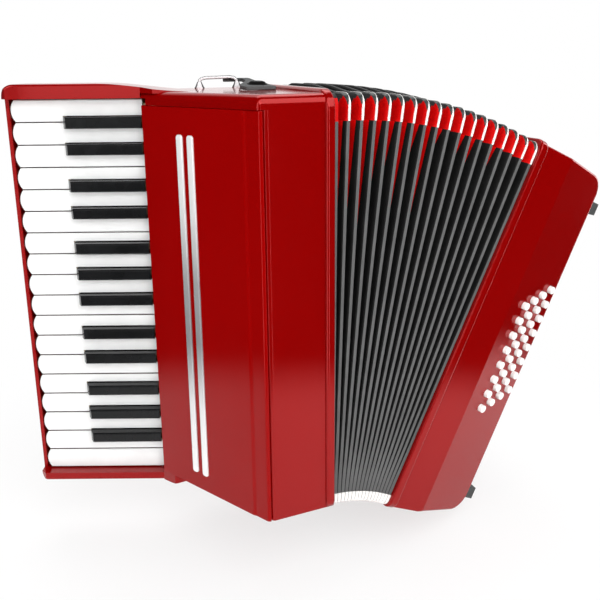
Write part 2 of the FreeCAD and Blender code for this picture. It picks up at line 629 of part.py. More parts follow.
def make_bass_end_cover():
    cover = box(BASS_X1 - COVER_THICK + 0.1, BASS_X1, COVER_Y0 + COVER_GAP, COVER_Y1 - COVER_GAP,
                COVER_Z0 + COVER_GAP, COVER_Z1 - COVER_GAP)
    cover = cover.cut(rod(6.1, BASS_X1 - 10, AIR_Y, AIR_Z, 20, X_AXIS))
    for y, z in SCREWS:
        cover = cover.cut(rod(SCREW_HOLE_R, BASS_X1 - 5, y, z, 10, X_AXIS))
        cover = cover.cut(Part.makeCone(SCREW_HOLE_R, 3.3, 1.8,
                                        Vector(BASS_X1 - 1.8, y, z), X_AXIS))
    # slots for the two ends of the hand strap
    for z in (STRAP_Z0, STRAP_Z1):
        cover = cover.cut(box(BASS_X1 - 6, BASS_X1 + 2, STRAP_Y0 - 0.6, STRAP_Y1 + 0.6,
                              z - 2.3, z + 2.3))
    return cover


def cover_screw(y, z):
    """countersunk screw with a slotted head"""
    screw = rod(1.55, BASS_X1 - 4.9, y, z, 3.2, X_AXIS)
    screw = screw.fuse(Part.makeCone(1.55, 3.2, 1.7, Vector(BASS_X1 - 1.75, y, z), X_AXIS))
    return screw.cut(box(BASS_X1 - 0.8, BASS_X1 + 1, y - 2.4, y + 2.4, z - 0.4, z + 0.4))


def make_air_button():
    """round cap on a stem through the cover"""
    button = rod(6.0, BASS_X1 - 14.0, AIR_Y, AIR_Z, 20.0, X_AXIS)
    button = button.fuse(rod(9.0, BASS_X1 + 6.0, AIR_Y, AIR_Z, 3.0, X_AXIS))
    return button.makeFillet(1.0, edges_at_x(button, BASS_X1 + 9.0))


def make_bass_strap():
    """hand strap: a band bowed away from the end, its ends folded in through the slots"""
    steps = 24
    outer, inner = [], []
    for i in range(1, steps):
        z = STRAP_Z0 + (STRAP_Z1 - STRAP_Z0) * i / steps
        bow = 34.0 * math.sin(math.pi * i / steps) ** 0.62
        outer.append((BASS_X1 + 3.6 + bow, z))
        inner.append((BASS_X1 + 0.8 + bow, z))
    x_end, x_outer, x_inner = BASS_X1 - 12.0, BASS_X1 + 1.6, BASS_X1 + 0.5
    outline = [(x_end, STRAP_Z0 - STRAP_HALF), (x_outer, STRAP_Z0 - STRAP_HALF)] + outer
    outline += [(x_outer, STRAP_Z1 + STRAP_HALF), (x_end, STRAP_Z1 + STRAP_HALF),
                (x_end, STRAP_Z1 - STRAP_HALF), (x_inner, STRAP_Z1 - STRAP_HALF)]
    outline += inner[::-1]
    outline += [(x_inner, STRAP_Z0 + STRAP_HALF), (x_end, STRAP_Z0 + STRAP_HALF)]
    return extruded([Vector(x, STRAP_Y0, z) for x, z in outline],
                    Vector(0, STRAP_Y1 - STRAP_Y0, 0))


def make_strap_adjuster_wheel():
    """notched wheel with its screw"""
    notches = 24
    wheel = rod(12.5, WHEEL_X, WHEEL_Y, WHEEL_Z - 4.0, 8.0)
    for n in range(notches):
        angle = 2 * math.pi * n / notches
        wheel = wheel.cut(rod(0.8, WHEEL_X + 12.7 * math.cos(angle),
                              WHEEL_Y + 12.7 * math.sin(angle), WHEEL_Z - 5, 10))
    return wheel.fuse(rod(3.0, WHEEL_X, WHEEL_Y, 331.0, 27.0))


def rubber_foot(y, z, casing):
    x1 = BASS_X1 + 10.5
    foot = box(BASS_X1 - 3.0, x1, y - 6.5, y + 6.5, z - 6.0, z + 6.0)
    return foot.makeChamfer(2.2, edges_at_x(foot, x1)).cut(casing)


def bass_button(p):
    button = Part.makeCylinder(BUTTON_R, BUTTON_PROUD + 6.0, p - FACET_OUT * 6.0, FACET_OUT)
    rim = [e for e in button.Edges
           if abs((e.CenterOfMass - p).dot(FACET_OUT) - BUTTON_PROUD) < 1e-6]
    button = button.makeFillet(0.7, rim)
    return button.fuse(Part.makeCylinder(1.8, 20.0, p - FACET_OUT * 26.0, FACET_OUT))


def make_bass_reed_assembly():
    """soundboard, reed blocks and the board that guides the button stems"""
    board_x = BASS_X0 + 34.0
    pieces = [box(board_x, board_x + 6.0, Y_FRONT + WALL + 0.6, Y_BACK - WALL - FIT,
                  WALL + FIT, HEIGHT - WALL - FIT)]
    for y in (-46.0, 8.0):
        pieces.append(box(BASS_X0 + 10.0, board_x, y, y + 22.0, 24.0, 344.0))
    guide = prism([facet_xy(15.0, -20.0), facet_xy(64.0, -20.0), facet_xy(64.0, -17.0),
                   facet_xy(15.0, -17.0)], 100.0, 262.0)
    guide = guide.cut(group([Part.makeCylinder(1.9, 20, p - FACET_OUT * 10, -FACET_OUT)
                             for column in BUTTON_CENTRES for p in column]))
    return group(pieces + [guide])


# ---------------------------------------------------------------- strap brackets, bellows strap


def strap_bracket(start, end, out, height):
    """wire loop between two conical feet"""
    wire_r = 1.5
    span = (end - start).Length
    direction = (end - start).normalize()
    # (distance from the start, height before scaling)
    path = [(0, 5.0), (0.4, 7.0), (2.4, 8.7), (6.0, 9.4),
            (span - 6.5, 9.9), (span - 2.6, 9.1), (span - 0.5, 7.1), (span, 5.0)]
    scale = height / 9.6
    points = [start + direction * a + out * (b * scale) for a, b in path]
    bracket = None
    for a, b in zip(points[:-1], points[1:]):
        piece = Part.makeCylinder(wire_r, (b - a).Length, a, b - a)
        if bracket is None:
            bracket = piece
        else:
            bracket = bracket.fuse(piece).fuse(Part.makeSphere(wire_r, a))
    bracket = bracket.removeSplitter()
    for p in (start, end):
        base = Part.makeCylinder(4.6, 1.0, p, out)
        bracket = bracket.fuse(base.fuse(Part.makeCone(4.2, 1.9, 5.0, p + out * 1.0, out)))
    return bracket


# (x, y) outline of the bellows strap on top of the treble casing
BELLOWS_STRAP = [(-13.0, -1.0), (-11.0, -3.5), (13.0, -3.5), (15.0, -1.0), (16.5, 30.0),
                 (18.0, 80.0), (10.4, 80.0), (9.6, 68.0), (6.0, 58.0), (-4.0, 38.0),
                 (-12.0, 14.0)]


def make_bellows_strap():
    top = HEIGHT + 3.2
    knob_x, knob_y, knob_h = 4.5, 18.0, 1.4
    knob = rod(9.6, knob_x, knob_y, top, knob_h).fuse(
        Part.makeCone(8.4, 6.0, 2.0, Vector(knob_x, knob_y, top + knob_h), Z_AXIS))
    return group([prism(BELLOWS_STRAP, HEIGHT, top), knob])


# ---------------------------------------------------------------- build and save
treble_casing = make_treble_casing()
treble_grille = make_treble_grille()
save("treble_casing", treble_casing)
save("treble_grille", treble_grille)
save("grille_trim_strips", group([trim_strip(s) for s in TRIM_STATIONS]))
save("keyboard_case", make_keyboard_case(treble_casing, treble_grille))
save("key_axle", rod(AXLE_R, AXLE_X, AXLE_Y, AXLE_Z0, AXLE_LEN))
save("treble_reed_assembly", make_treble_reed_assembly(save_keys()))
save("treble_reed_plates", make_treble_reed_plates())

save("bellows_frame_treble", bellows_frame(20.0, X_BELLOWS - FIT))
save("bellows_frame_bass", fanned(bellows_frame(BASS_X0 + FIT, BASS_X0 + 8.0)))
for k in range(RINGS):
    save("bellows_fold_%d" % (k + 1), bellows_ring(k))

bass_casing = make_bass_casing()
save("bass_casing", fanned(bass_casing))
save("bass_end_cover", fanned(make_bass_end_cover()))
save("cover_screws", fanned(group([cover_screw(y, z) for y, z in SCREWS])))
save("bass_reed_assembly", fanned(make_bass_reed_assembly()))
save("bass_strap", fanned(make_bass_strap()))
save("strap_adjuster_wheel", fanned(make_strap_adjuster_wheel()))
save("rubber_feet", fanned(group([rubber_foot(y, z, bass_casing)
                                  for y in (-53.0, 74.0) for z in (19.5, 338.0)])))
save("air_button", fanned(make_air_button()))
for n, column in enumerate(BUTTON_CENTRES):
    save("bass_buttons_%d" % (n + 1), fanned(group([bass_button(p) for p in column])))

save("strap_brackets", group([
    strap_bracket(Vector(-33.0, 76.0, HEIGHT), Vector(4.0, 76.0, HEIGHT), Z_AXIS, 9.6),
    strap_bracket(Vector(-10.0, Y_BACK, 40.0), Vector(-10.0, Y_BACK, 72.5), Y_AXIS, 9.5)]))
save("bellows_strap", make_bellows_strap())
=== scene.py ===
"""A red piano accordion standing with its bellows fanned open.

+Z is up. The keyboard (treble) end is at -X, the bass end at +X, and the front faces -Y.
The bellows are modelled closed, running along X; fan() then turns every point about a Y axis
by its share of the fan angle: 0 at the treble casing, 1 at the bass casing. Units are metres.
"""

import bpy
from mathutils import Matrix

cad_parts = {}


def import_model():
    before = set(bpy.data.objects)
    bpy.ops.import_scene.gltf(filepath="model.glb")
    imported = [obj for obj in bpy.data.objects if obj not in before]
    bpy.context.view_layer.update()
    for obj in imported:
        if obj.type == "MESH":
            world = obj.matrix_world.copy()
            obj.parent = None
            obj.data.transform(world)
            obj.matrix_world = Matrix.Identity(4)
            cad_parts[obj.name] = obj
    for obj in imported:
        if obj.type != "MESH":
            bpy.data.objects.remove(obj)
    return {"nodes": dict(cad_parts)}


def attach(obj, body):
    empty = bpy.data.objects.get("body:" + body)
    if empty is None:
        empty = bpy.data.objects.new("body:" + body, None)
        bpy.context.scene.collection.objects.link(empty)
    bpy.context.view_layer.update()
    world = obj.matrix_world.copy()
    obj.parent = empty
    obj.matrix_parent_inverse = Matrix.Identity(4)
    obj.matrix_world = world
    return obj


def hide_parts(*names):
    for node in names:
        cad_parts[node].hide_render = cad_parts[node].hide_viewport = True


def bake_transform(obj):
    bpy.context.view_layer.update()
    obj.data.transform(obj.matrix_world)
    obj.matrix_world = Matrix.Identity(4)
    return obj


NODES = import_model()["nodes"]
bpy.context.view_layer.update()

import math
import random
from collections import namedtuple
from itertools import groupby

import bpy
import numpy as np
from mathutils import Matrix, Vector

random.seed(7)      # fixes any draw made through the random module
SCENE = bpy.context.scene

# ---------------------------------------------------------------- dimensions shared with the CAD

HEIGHT = 0.3675
FRONT, BACK = -0.0825, 0.0825

TREBLE_X = 0.033                        # where the treble casing meets the bellows
BELLOWS_WIDTH = 0.057                   # when closed
BASS_X = TREBLE_X + BELLOWS_WIDTH       # where the bellows meet the bass casing, closed
BASS_WIDTH = 0.1103
BASS_END_X = BASS_X + BASS_WIDTH

FAN_ANGLE = math.radians(24.5)
PIVOT = np.array([TREBLE_X + 0.019, 0.0, -0.006])

# the slanted front face of the treble casing, from the ridge towards -X and +Y
RIDGE = np.array([-0.0305, FRONT, 0.0])
SLANT_X, SLANT_Y = 0.0661, 0.1187
SLANT_NORMAL = np.array([-SLANT_Y, -SLANT_X, 0.0]) / math.hypot(SLANT_X, SLANT_Y)

# the keys: their lengthwise direction, the normal of their tops, and the origin of both
KEY_ANGLE = math.radians(22.7)
KEY_DIRECTION = np.array([-math.cos(KEY_ANGLE), math.sin(KEY_ANGLE), 0.0])
KEY_NORMAL = np.array([-math.sin(KEY_ANGLE), -math.cos(KEY_ANGLE), 0.0])
KEY_ORIGIN = np.array([RIDGE[0] - SLANT_X, FRONT + SLANT_Y + 0.0054, 0.0]) - KEY_NORMAL * 0.005


def fan(points, share):
    """Turn closed-frame points by their share of the fan angle; a share of -1 undoes 1."""
    points = np.asarray(points, float)
    angle = FAN_ANGLE * np.broadcast_to(np.asarray(share, float), points.shape[:-1])
    offset = points - PIVOT
    cos, sin = np.cos(angle), np.sin(angle)
    turned = np.empty_like(points)
    turned[..., 0] = PIVOT[0] + offset[..., 0] * cos + offset[..., 2] * sin
    turned[..., 1] = points[..., 1]
    turned[..., 2] = PIVOT[2] - offset[..., 0] * sin + offset[..., 2] * cos
    return turned


# ---------------------------------------------------------------- shader node helpers

SPECULAR = "Specular IOR Level"
WHITE = (1, 1, 1, 1)
MIX_FACTOR, MIX_A, MIX_B, MIX_RESULT = 0, 6, 7, 2       # colour sockets of a Mix node


def feed(node, inputs):
    """Link or set a node's inputs, given by name or index."""
    for key, value in inputs.items():
        socket = node.inputs[key]
        if isinstance(value, bpy.types.NodeSocket):
            node.id_data.links.new(value, socket)
        else:
            socket.default_value = value


def add(tree, kind, inputs=None, **settings):
    node = tree.nodes.new("ShaderNode" + kind)
    for key, value in settings.items():
        setattr(node, key, value)
    feed(node, inputs or {})
    return node


def new_material(name):
    """An empty material with an output and a Principled BSDF."""
    material = bpy.data.materials.new(name)
    material.use_nodes = True
    tree = material.node_tree
    tree.nodes.clear()
    output = add(tree, "OutputMaterial")
    bsdf = add(tree, "BsdfPrincipled")
    feed(output, {0: bsdf.outputs[0]})
    return material, tree, bsdf


def object_coords(tree, stretch=(1, 1, 1)):
    place = add(tree, "TexCoord").outputs["Object"]
    return add(tree, "Mapping", {"Scale": stretch, "Vector": place}).outputs[0]


def noise(tree, where, scale, detail=3.0, roughness=0.5):
    inputs = {"Scale": scale, "Detail": detail, "Roughness": roughness, "Vector": where}
    return add(tree, "TexNoise", inputs).outputs["Fac"]


def ramp(tree, factor, stops):
    """A colour ramp; stops are (position, rgb)."""
    node = add(tree, "ValToRGB", {0: factor})
    elements = node.color_ramp.elements
    while len(elements) < len(stops):
        elements.new(0.5)
    for element, (position, colour) in zip(elements, stops):
        element.position = position
        element.color = (*colour, 1)
    return node.outputs[0]


def mottle(tree, factor, dark, light):
    return ramp(tree, factor, [(0.3, dark), (0.7, light)])


def remap(tree, value, to=(0.0, 1.0), span=(0.0, 1.0), smooth=False):
    """Map a value from its span to another."""
    inputs = {"Value": value, "From Min": span[0], "From Max": span[1],
              "To Min": to[0], "To Max": to[1]}
    kind = "SMOOTHSTEP" if smooth else "LINEAR"
    return add(tree, "MapRange", inputs, interpolation_type=kind).outputs[0]


def bump(tree, height, strength, distance):
    inputs = {"Strength": strength, "Distance": distance, "Height": height}
    return add(tree, "Bump", inputs).outputs[0]


def multiply(tree, first, second):
    return add(tree, "Math", {0: first, 1: second}, operation="MULTIPLY").outputs[0]


def mix_shader(tree, share, first, second):
    return add(tree, "MixShader", {0: share, 1: first, 2: second}).outputs[0]


def grained(tree, colour, grain, share):
    """Darken a colour a little by a grain texture."""
    inputs = {MIX_FACTOR: share, MIX_A: colour, MIX_B: grain}
    node = add(tree, "Mix", inputs, data_type="RGBA", blend_type="MULTIPLY")
    return node.outputs[MIX_RESULT]


# ---------------------------------------------------------------- kinds of material
# Each takes its darker and lighter colour; roughness is the range its texture covers, and
# `more` holds further BSDF inputs.

def lacquer(name, dark, light, roughness, ior, specular):
    material, tree, bsdf = new_material(name)
    where = object_coords(tree)
    broad = noise(tree, where, 9.0, detail=4.0)
    fine = noise(tree, where, 160.0, detail=2.0)
    feed(bsdf, {
        "Base Color": ramp(tree, broad, [(0.25, dark), (0.75, light)]),
        "Normal": bump(tree, fine, strength=0.04, distance=0.0003),
        "Roughness": remap(tree, noise(tree, where, 35.0), roughness),
        "IOR": ior,
        SPECULAR: specular,
        "Specular Tint": (1.0, 0.17, 0.17, 1.0),
        "Coat Weight": 0.02,
        "Coat Roughness": 0.03,
    })
    return material


def plastic(name, dark, light, roughness=(0.2, 0.3), coat=0.3, scale=60.0, more=None):
    material, tree, bsdf = new_material(name)
    where = object_coords(tree)
    feed(bsdf, {
        "Base Color": mottle(tree, noise(tree, where, scale, detail=4.0), dark, light),
        "Roughness": remap(tree, noise(tree, where, scale * 3, detail=2.0), roughness),
        "Normal": bump(tree, noise(tree, where, scale * 8, detail=2.0),
                       strength=0.12, distance=0.0002),
        "Coat Weight": coat,
        "Coat Roughness": 0.08,
        **(more or {}),
    })
    return material


def metal(name, dark, light, roughness, stretch=(1, 1, 1), metallic=1.0):
    material, tree, bsdf = new_material(name)
    where = object_coords(tree, stretch)
    feed(bsdf, {
        "Base Color": mottle(tree, noise(tree, where, 40.0, detail=4.0), dark, light),
        "Roughness": remap(tree, noise(tree, where, 130.0, detail=4.0), roughness),
        "Normal": bump(tree, noise(tree, where, 300.0, detail=2.0),
                       strength=0.04, distance=0.0002),
        "Metallic": metallic,
    })
    return material


def leather(name, dark, light, scale, roughness, depth=0.0006, more=None):
    """Cellular grain, rougher in the middle of each cell."""
    material, tree, bsdf = new_material(name)
    where = object_coords(tree)
    cells = add(tree, "TexVoronoi", {"Scale": scale, "Vector": where}).outputs["Distance"]
    feed(bsdf, {
        "Base Color": mottle(tree, noise(tree, where, 30.0, detail=5.0), dark, light),
        "Roughness": remap(tree, cells, (roughness[1], roughness[0])),
        "Normal": bump(tree, cells, strength=0.5, distance=depth),
        **(more or {}),
    })
    return material


def cloth(name, dark, light, scale, roughness, specular=0.3):
    """A weave of upright and level threads."""
    material, tree, bsdf = new_material(name)
    where = object_coords(tree)
    threads = [add(tree, "TexWave", {"Scale": scale, "Distortion": 1.0, "Vector": where},
                   wave_type="BANDS", bands_direction=axis).outputs["Fac"] for axis in "ZX"]
    weave = multiply(tree, *threads)
    feed(bsdf, {
        "Base Color": mottle(tree, noise(tree, where, 55.0, detail=5.0), dark, light),
        "Roughness": remap(tree, weave, (roughness + 0.1, roughness - 0.1)),
        "Normal": bump(tree, weave, strength=0.4, distance=0.0003),
        SPECULAR: specular,
    })
    return material


def wood(name, dark, light, stretch=(30, 30, 3)):
    material, tree, bsdf = new_material(name)
    where = object_coords(tree, stretch)
    grain = noise(tree, where, 4.0, detail=8.0, roughness=0.65)
    feed(bsdf, {
        "Base Color": mottle(tree, grain, dark, light),
        "Roughness": remap(tree, noise(tree, where, 9.0, detail=4.0), (0.45, 0.65)),
        "Normal": bump(tree, noise(tree, where, 12.0, detail=5.0),
                       strength=0.2, distance=0.0004),
    })
    return material


def metal_painted_reflection(name, light, dark):
    """Round wire with a painted reflection: light where it faces the eye, dark where it turns
    away.
    """
    material, tree, bsdf = new_material(name)
    facing = add(tree, "LayerWeight", {"Blend": 0.42}).outputs["Facing"]
    colour = ramp(tree, facing, [(0.0, light), (0.16, light), (0.34, dark), (1.0, dark)])
    grain = noise(tree, object_coords(tree), 500.0)
    feed(bsdf, {
        "Base Color": grained(tree, colour, grain, share=0.10),
        "Roughness": remap(tree, grain, (0.16, 0.28)),
        "Metallic": 0.0,
        SPECULAR: 0.15,
        "IOR": 1.15,
    })
    return material


def trim_painted_reflection(name):
    """Chrome strips with a painted reflection, dark around the middle of their height and near
    white at both ends.
    """
    reflection_shades = [(0.0, (0.90, 0.90, 0.90)), (0.22, (0.72, 0.72, 0.73)),
              (0.42, (0.30, 0.30, 0.31)), (0.60, (0.40, 0.40, 0.41)),
              (0.80, (0.86, 0.86, 0.86)), (1.0, (0.95, 0.95, 0.95))]
    material, tree, bsdf = new_material(name)
    place = add(tree, "TexCoord").outputs["Object"]
    z = add(tree, "SeparateXYZ", {0: place}).outputs["Z"]
    colour = ramp(tree, remap(tree, z, span=(0.017, 0.333)), reflection_shades)
    grain = noise(tree, object_coords(tree, stretch=(1, 1, 0.05)), 900.0, detail=2.0)
    feed(bsdf, {
        "Base Color": grained(tree, colour, grain, share=0.12),
        "Roughness": remap(tree, grain, (0.14, 0.24)),
        "Metallic": 0.30,
    })
    return material


# ---------------------------------------------------------------- the materials

RED = lacquer("red_lacquer", (0.192, 0.0001, 0.0001), (0.206, 0.0003, 0.0003),
              roughness=(0.07, 0.13), ior=1.7, specular=0.8)
RED_GRILLE = lacquer("grille_red", (0.226, 0.0002, 0.0002), (0.242, 0.0004, 0.0004),
                     roughness=(0.08, 0.14), ior=1.5, specular=0.5)
# painted shade: dark brown on the flanks of the white key heads, standing in for the shadow in
# the joints between keys
KEY_FLANK_PAINTED_SHADE = plastic("key_edge_shadow", (0.055, 0.020, 0.015), (0.080, 0.030, 0.022),
                    roughness=(0.6, 0.7), coat=0.0)
IVORY = plastic("key_white", (0.74, 0.745, 0.74), (0.78, 0.785, 0.78),
                roughness=(0.18, 0.28), coat=0.5)
KEY_WOOD = wood("key_wood", (0.52, 0.36, 0.20), (0.66, 0.49, 0.30), stretch=(8, 8, 60))
EBONY = plastic("key_black", (0.0045, 0.0048, 0.005), (0.0080, 0.0083, 0.009),
                roughness=(0.16, 0.26), coat=0.08, more={SPECULAR: 0.20})
# on no mesh
metal("chrome", (0.86, 0.86, 0.87), (0.94, 0.94, 0.94), roughness=(0.10, 0.18), metallic=0.55)
NICKEL = metal("nickel_corner", (0.88, 0.86, 0.84), (0.95, 0.93, 0.91),
               roughness=(0.16, 0.28), metallic=0.25)
# painted reflection on the strap brackets and cover screws: light where they face the eye, dark
# at their rims
BRIGHTWORK_PAINTED_REFLECTION = metal_painted_reflection("bright_metal_painted_reflection", light=(0.80, 0.80, 0.81), dark=(0.015, 0.016, 0.018))
# painted reflection on the grille strips: near white at both ends, dark around the middle of
# their height
TRIM = trim_painted_reflection("trim_chrome")
STEEL = metal("steel", (0.50, 0.51, 0.52), (0.62, 0.62, 0.63),
              roughness=(0.25, 0.4), stretch=(1, 1, 0.1))
REED_PLATE = metal("reed_plate", (0.66, 0.67, 0.68), (0.76, 0.76, 0.77), roughness=(0.3, 0.45))
REED_WOOD = wood("reed_wood", (0.45, 0.30, 0.17), (0.60, 0.43, 0.26))
FRAME_WOOD = wood("frame_wood", (0.40, 0.26, 0.14), (0.55, 0.38, 0.22))
PALLET = leather("pallet_leather", (0.62, 0.52, 0.40), (0.70, 0.60, 0.48),
                 scale=600.0, roughness=(0.7, 0.85))
FELT = cloth("felt_red", (0.25, 0.02, 0.02), (0.32, 0.03, 0.03), scale=500.0, roughness=0.85)
CARD = cloth("bellows_card", (0.0080, 0.0080, 0.0080), (0.0115, 0.0115, 0.0115),
             scale=700.0, roughness=0.70, specular=0.08)
TAPE = cloth("bellows_tape", (0.088, 0.089, 0.089), (0.108, 0.109, 0.109),
             scale=1100.0, roughness=0.6)
EDGING = leather("bellows_edging", (0.013, 0.018, 0.018), (0.024, 0.030, 0.029),
                 scale=700.0, roughness=(0.30, 0.42), depth=0.0002)
TOP_TAPE = cloth("bellows_top_tape", (0.013, 0.014, 0.014), (0.022, 0.023, 0.023),
                 scale=1100.0, roughness=0.55)
GUSSET = leather("bellows_gusset", (0.50, 0.0006, 0.0006), (0.58, 0.0010, 0.0010),
                 scale=800.0, roughness=(0.5, 0.65), depth=0.0002, more={SPECULAR: 0.12})
# painted light: a brighter copy of the gusset leather for the deep valleys, making up for the
# shade there
GUSSET_PAINTED_LIGHT = leather("bellows_gusset_painted_light", (0.80, 0.0008, 0.0008), (0.90, 0.0015, 0.0015),
                      scale=800.0, roughness=(0.5, 0.65), depth=0.0002, more={SPECULAR: 0.12})
LINER = cloth("bellows_liner", (0.40, 0.33, 0.24), (0.48, 0.41, 0.31),
              scale=600.0, roughness=0.8)
STRAP = leather("strap_leather", (0.016, 0.015, 0.014), (0.032, 0.030, 0.029),
                scale=520.0, roughness=(0.38, 0.58))
SNAP_STRAP = leather("snap_strap", (0.075, 0.077, 0.078), (0.098, 0.101, 0.102),
                     scale=620.0, roughness=(0.5, 0.62), more={"IOR": 1.10})
SUEDE = leather("strap_lining", (0.16, 0.10, 0.06), (0.22, 0.15, 0.09),
                scale=900.0, roughness=(0.75, 0.9))
THREAD = cloth("stitch_thread", (0.30, 0.29, 0.27), (0.42, 0.41, 0.38),
               scale=2500.0, roughness=0.7)
RUBBER = plastic("rubber", (0.040, 0.043, 0.043), (0.055, 0.058, 0.058),
                 roughness=(0.6, 0.75), coat=0.0, scale=200.0)
BUTTON = plastic("button_white", (0.84, 0.84, 0.82), (0.90, 0.90, 0.885),
                 roughness=(0.15, 0.25), coat=0.5)
WHEEL = plastic("wheel_plastic", (0.012, 0.012, 0.012), (0.022, 0.022, 0.022),
                roughness=(0.4, 0.55), coat=0.0, scale=180.0)
SNAP_BLACK = plastic("snap_black", (0.004, 0.004, 0.004), (0.008, 0.008, 0.008),
                     roughness=(0.35, 0.5), coat=0.0, more={"IOR": 1.06})


# ---------------------------------------------------------------- mesh helpers

def smooth_by_angle(mesh, degrees):
    mesh.shade_smooth()
    mesh.set_sharp_from_angle(angle=math.radians(degrees))


def set_face_materials(mesh, materials, face_materials):
    slots = [materials.index(material) for material in face_materials]
    mesh.polygons.foreach_set("material_index", np.array(slots, np.int32))


def new_object(name, vertices, faces, materials, face_materials=None, sharp_angle=None):
    """A mesh object; it is shaded flat unless a sharp angle is given."""
    mesh = bpy.data.meshes.new(name)
    mesh.from_pydata(np.asarray(vertices, float).tolist(), [], faces)
    for material in materials:
        mesh.materials.append(material)
    if face_materials is not None:
        set_face_materials(mesh, materials, face_materials)
    mesh.update()
    mesh.validate()
    obj = bpy.data.objects.new(name, mesh)
    SCENE.collection.objects.link(obj)
    if sharp_angle is not None:
        smooth_by_angle(mesh, sharp_angle)
    return obj


def tube_faces(rings, size, base=0):
    """Faces joining closed rings of vertices in turn, then the caps on the first and last."""
    faces = []
    for i in range(rings - 1):
        this, after = base + i * size, base + (i + 1) * size
        for j in range(size):
            k = (j + 1) % size
            faces.append((this + j, this + k, after + k, after + j))
    last = base + (rings - 1) * size
    faces.append(tuple(reversed(range(base, base + size))))
    faces.append(tuple(range(last, last + size)))
    return faces


# ---------------------------------------------------------------- finishes of the CAD pieces
# The functions below choose the material of one face from its centre and normal.

TREBLE_WALL, BASS_WALL = 0.004, 0.0045      # just inside the outer skin
TREBLE_MIDDLE = np.array([-0.012, 0.0, HEIGHT / 2])
BASS_MIDDLE = fan(np.array([BASS_X + 0.055, 0.0, HEIGHT / 2]), 1.0)
# the slanted facet between the bass casing's front and its +X end
FACET_START = np.array([BASS_X + 0.0424, FRONT, 0])
FACET_NORMAL = np.array([0.307, -0.952, 0])

KEY_HEAD_START = -0.0013        # along the keys, where the heads begin
KEY_TOP_THICKNESS = 0.0032


def key_place(centre):
    """Distance along the keys, and depth below their tops."""
    offset = centre - KEY_ORIGIN
    return np.dot(offset, KEY_DIRECTION), -np.dot(offset, KEY_NORMAL)


def within_walls(y, z, wall):
    return abs(y) < BACK - wall and wall < z < HEIGHT - wall


def treble_casing_material(centre, normal):
    """Red outside, bare wood inside the box."""
    x, y, z = centre
    inside = (within_walls(y, z, TREBLE_WALL) and x < TREBLE_X + 1e-4
              and np.dot(centre - RIDGE, SLANT_NORMAL) < -0.0035
              and key_place(centre)[0] < 0.001)
    faces_inwards = np.dot(normal, TREBLE_MIDDLE - centre) > 0
    on_rim = x > TREBLE_X - 0.006 and abs(normal[0]) > 0.9
    return FRAME_WOOD if inside and faces_inwards and not on_rim else RED


def bass_casing_material(centre, normal):
    """Red outside, bare wood inside the box."""
    closed = fan(centre, -1.0)
    x, y, z = closed
    inside = (within_walls(y, z, BASS_WALL) and BASS_X + 1e-4 < x < BASS_END_X - BASS_WALL
              and np.dot(closed - FACET_START, FACET_NORMAL) < -BASS_WALL)
    faces_inwards = np.dot(normal, BASS_MIDDLE - centre) > 0
    return FRAME_WOOD if inside and faces_inwards else RED


def keyboard_case_material(centre, normal):
    """Red, with a felt strip under the far ends of the keys."""
    along, below = key_place(centre)
    on_felt = 0.094 < along < 0.113 and 0.015 < below < 0.0176 and 0.0005 < centre[2] < 0.3615
    return FELT if on_felt else RED


def key_material(centre, top):
    """A key's top on its head, leather on its pad and wood for the rest."""
    along, below = key_place(centre)
    if along < KEY_HEAD_START:
        on_pad = centre[0] > -0.0241 and centre[1] < 0.02
        return PALLET if on_pad else KEY_WOOD
    return KEY_WOOD if below > KEY_TOP_THICKNESS else top


def white_key_material(centre, normal):
    """The flanks of the heads get a painted shade: dark brown for the shadow in the narrow
    joints.
    """
    along, below = key_place(centre)
    if abs(normal[2]) > 0.85 and KEY_HEAD_START < along < 0.108 and below > 0.0011:
        return KEY_FLANK_PAINTED_SHADE
    return key_material(centre, IVORY)


def black_key_material(centre, normal):
    return EBONY if key_place(centre)[0] > -0.0001 else key_material(centre, EBONY)


# node name: (materials, function choosing among them or None)
FINISHES = {
    "treble_casing": ([RED, FRAME_WOOD], treble_casing_material),
    "keyboard_case": ([RED, FELT], keyboard_case_material),
    "bass_casing": ([RED, FRAME_WOOD], bass_casing_material),
    "bass_end_cover": ([RED], None),
    "treble_grille": ([RED_GRILLE], None),
    "grille_trim_strips": ([TRIM], None),
    "strap_brackets": ([BRIGHTWORK_PAINTED_REFLECTION], None),
    "cover_screws": ([BRIGHTWORK_PAINTED_REFLECTION], None),
    "key_axle": ([STEEL], None),
    "treble_reed_assembly": ([REED_WOOD], None),
    "bass_reed_assembly": ([REED_WOOD], None),
    "treble_reed_plates": ([REED_PLATE], None),
    "rubber_feet": ([RUBBER], None),
    "strap_adjuster_wheel": ([WHEEL], None),
    "air_button": ([BUTTON], None),
}
# the same for groups of nodes, by the start of their names
GROUP_FINISHES = {
    "bellows_frame": ([FRAME_WOOD], None),
    "white_key": ([IVORY, KEY_WOOD, PALLET, KEY_FLANK_PAINTED_SHADE], white_key_material),
    "black_key": ([EBONY, KEY_WOOD, PALLET], black_key_material),
    "bass_buttons": ([BUTTON], None),
}


def find_finish(name):
    if name in FINISHES:
        return FINISHES[name]
    return next((finish for start, finish in GROUP_FINISHES.items() if name.startswith(start)),
                None)


def finish_node(mesh, materials, choose):
    mesh.materials.clear()
    for material in materials:
        mesh.materials.append(material)
    if choose:
        set_face_materials(mesh, materials, [
            choose(np.array(face.center), np.array(face.normal)) for face in mesh.polygons])
    mesh.update()


for node_name, node in NODES.items():
    finish = find_finish(node_name)
    if finish:
        finish_node(node.data, *finish)
    smooth_by_angle(node.data, 35.0)


# ---------------------------------------------------------------- bellows: the line of the peaks
# Places on the bellows are (share of the fan, y, z). The peak line is the closed outline of the
# folds' crests in Y and Z, and depth is measured inwards from it.

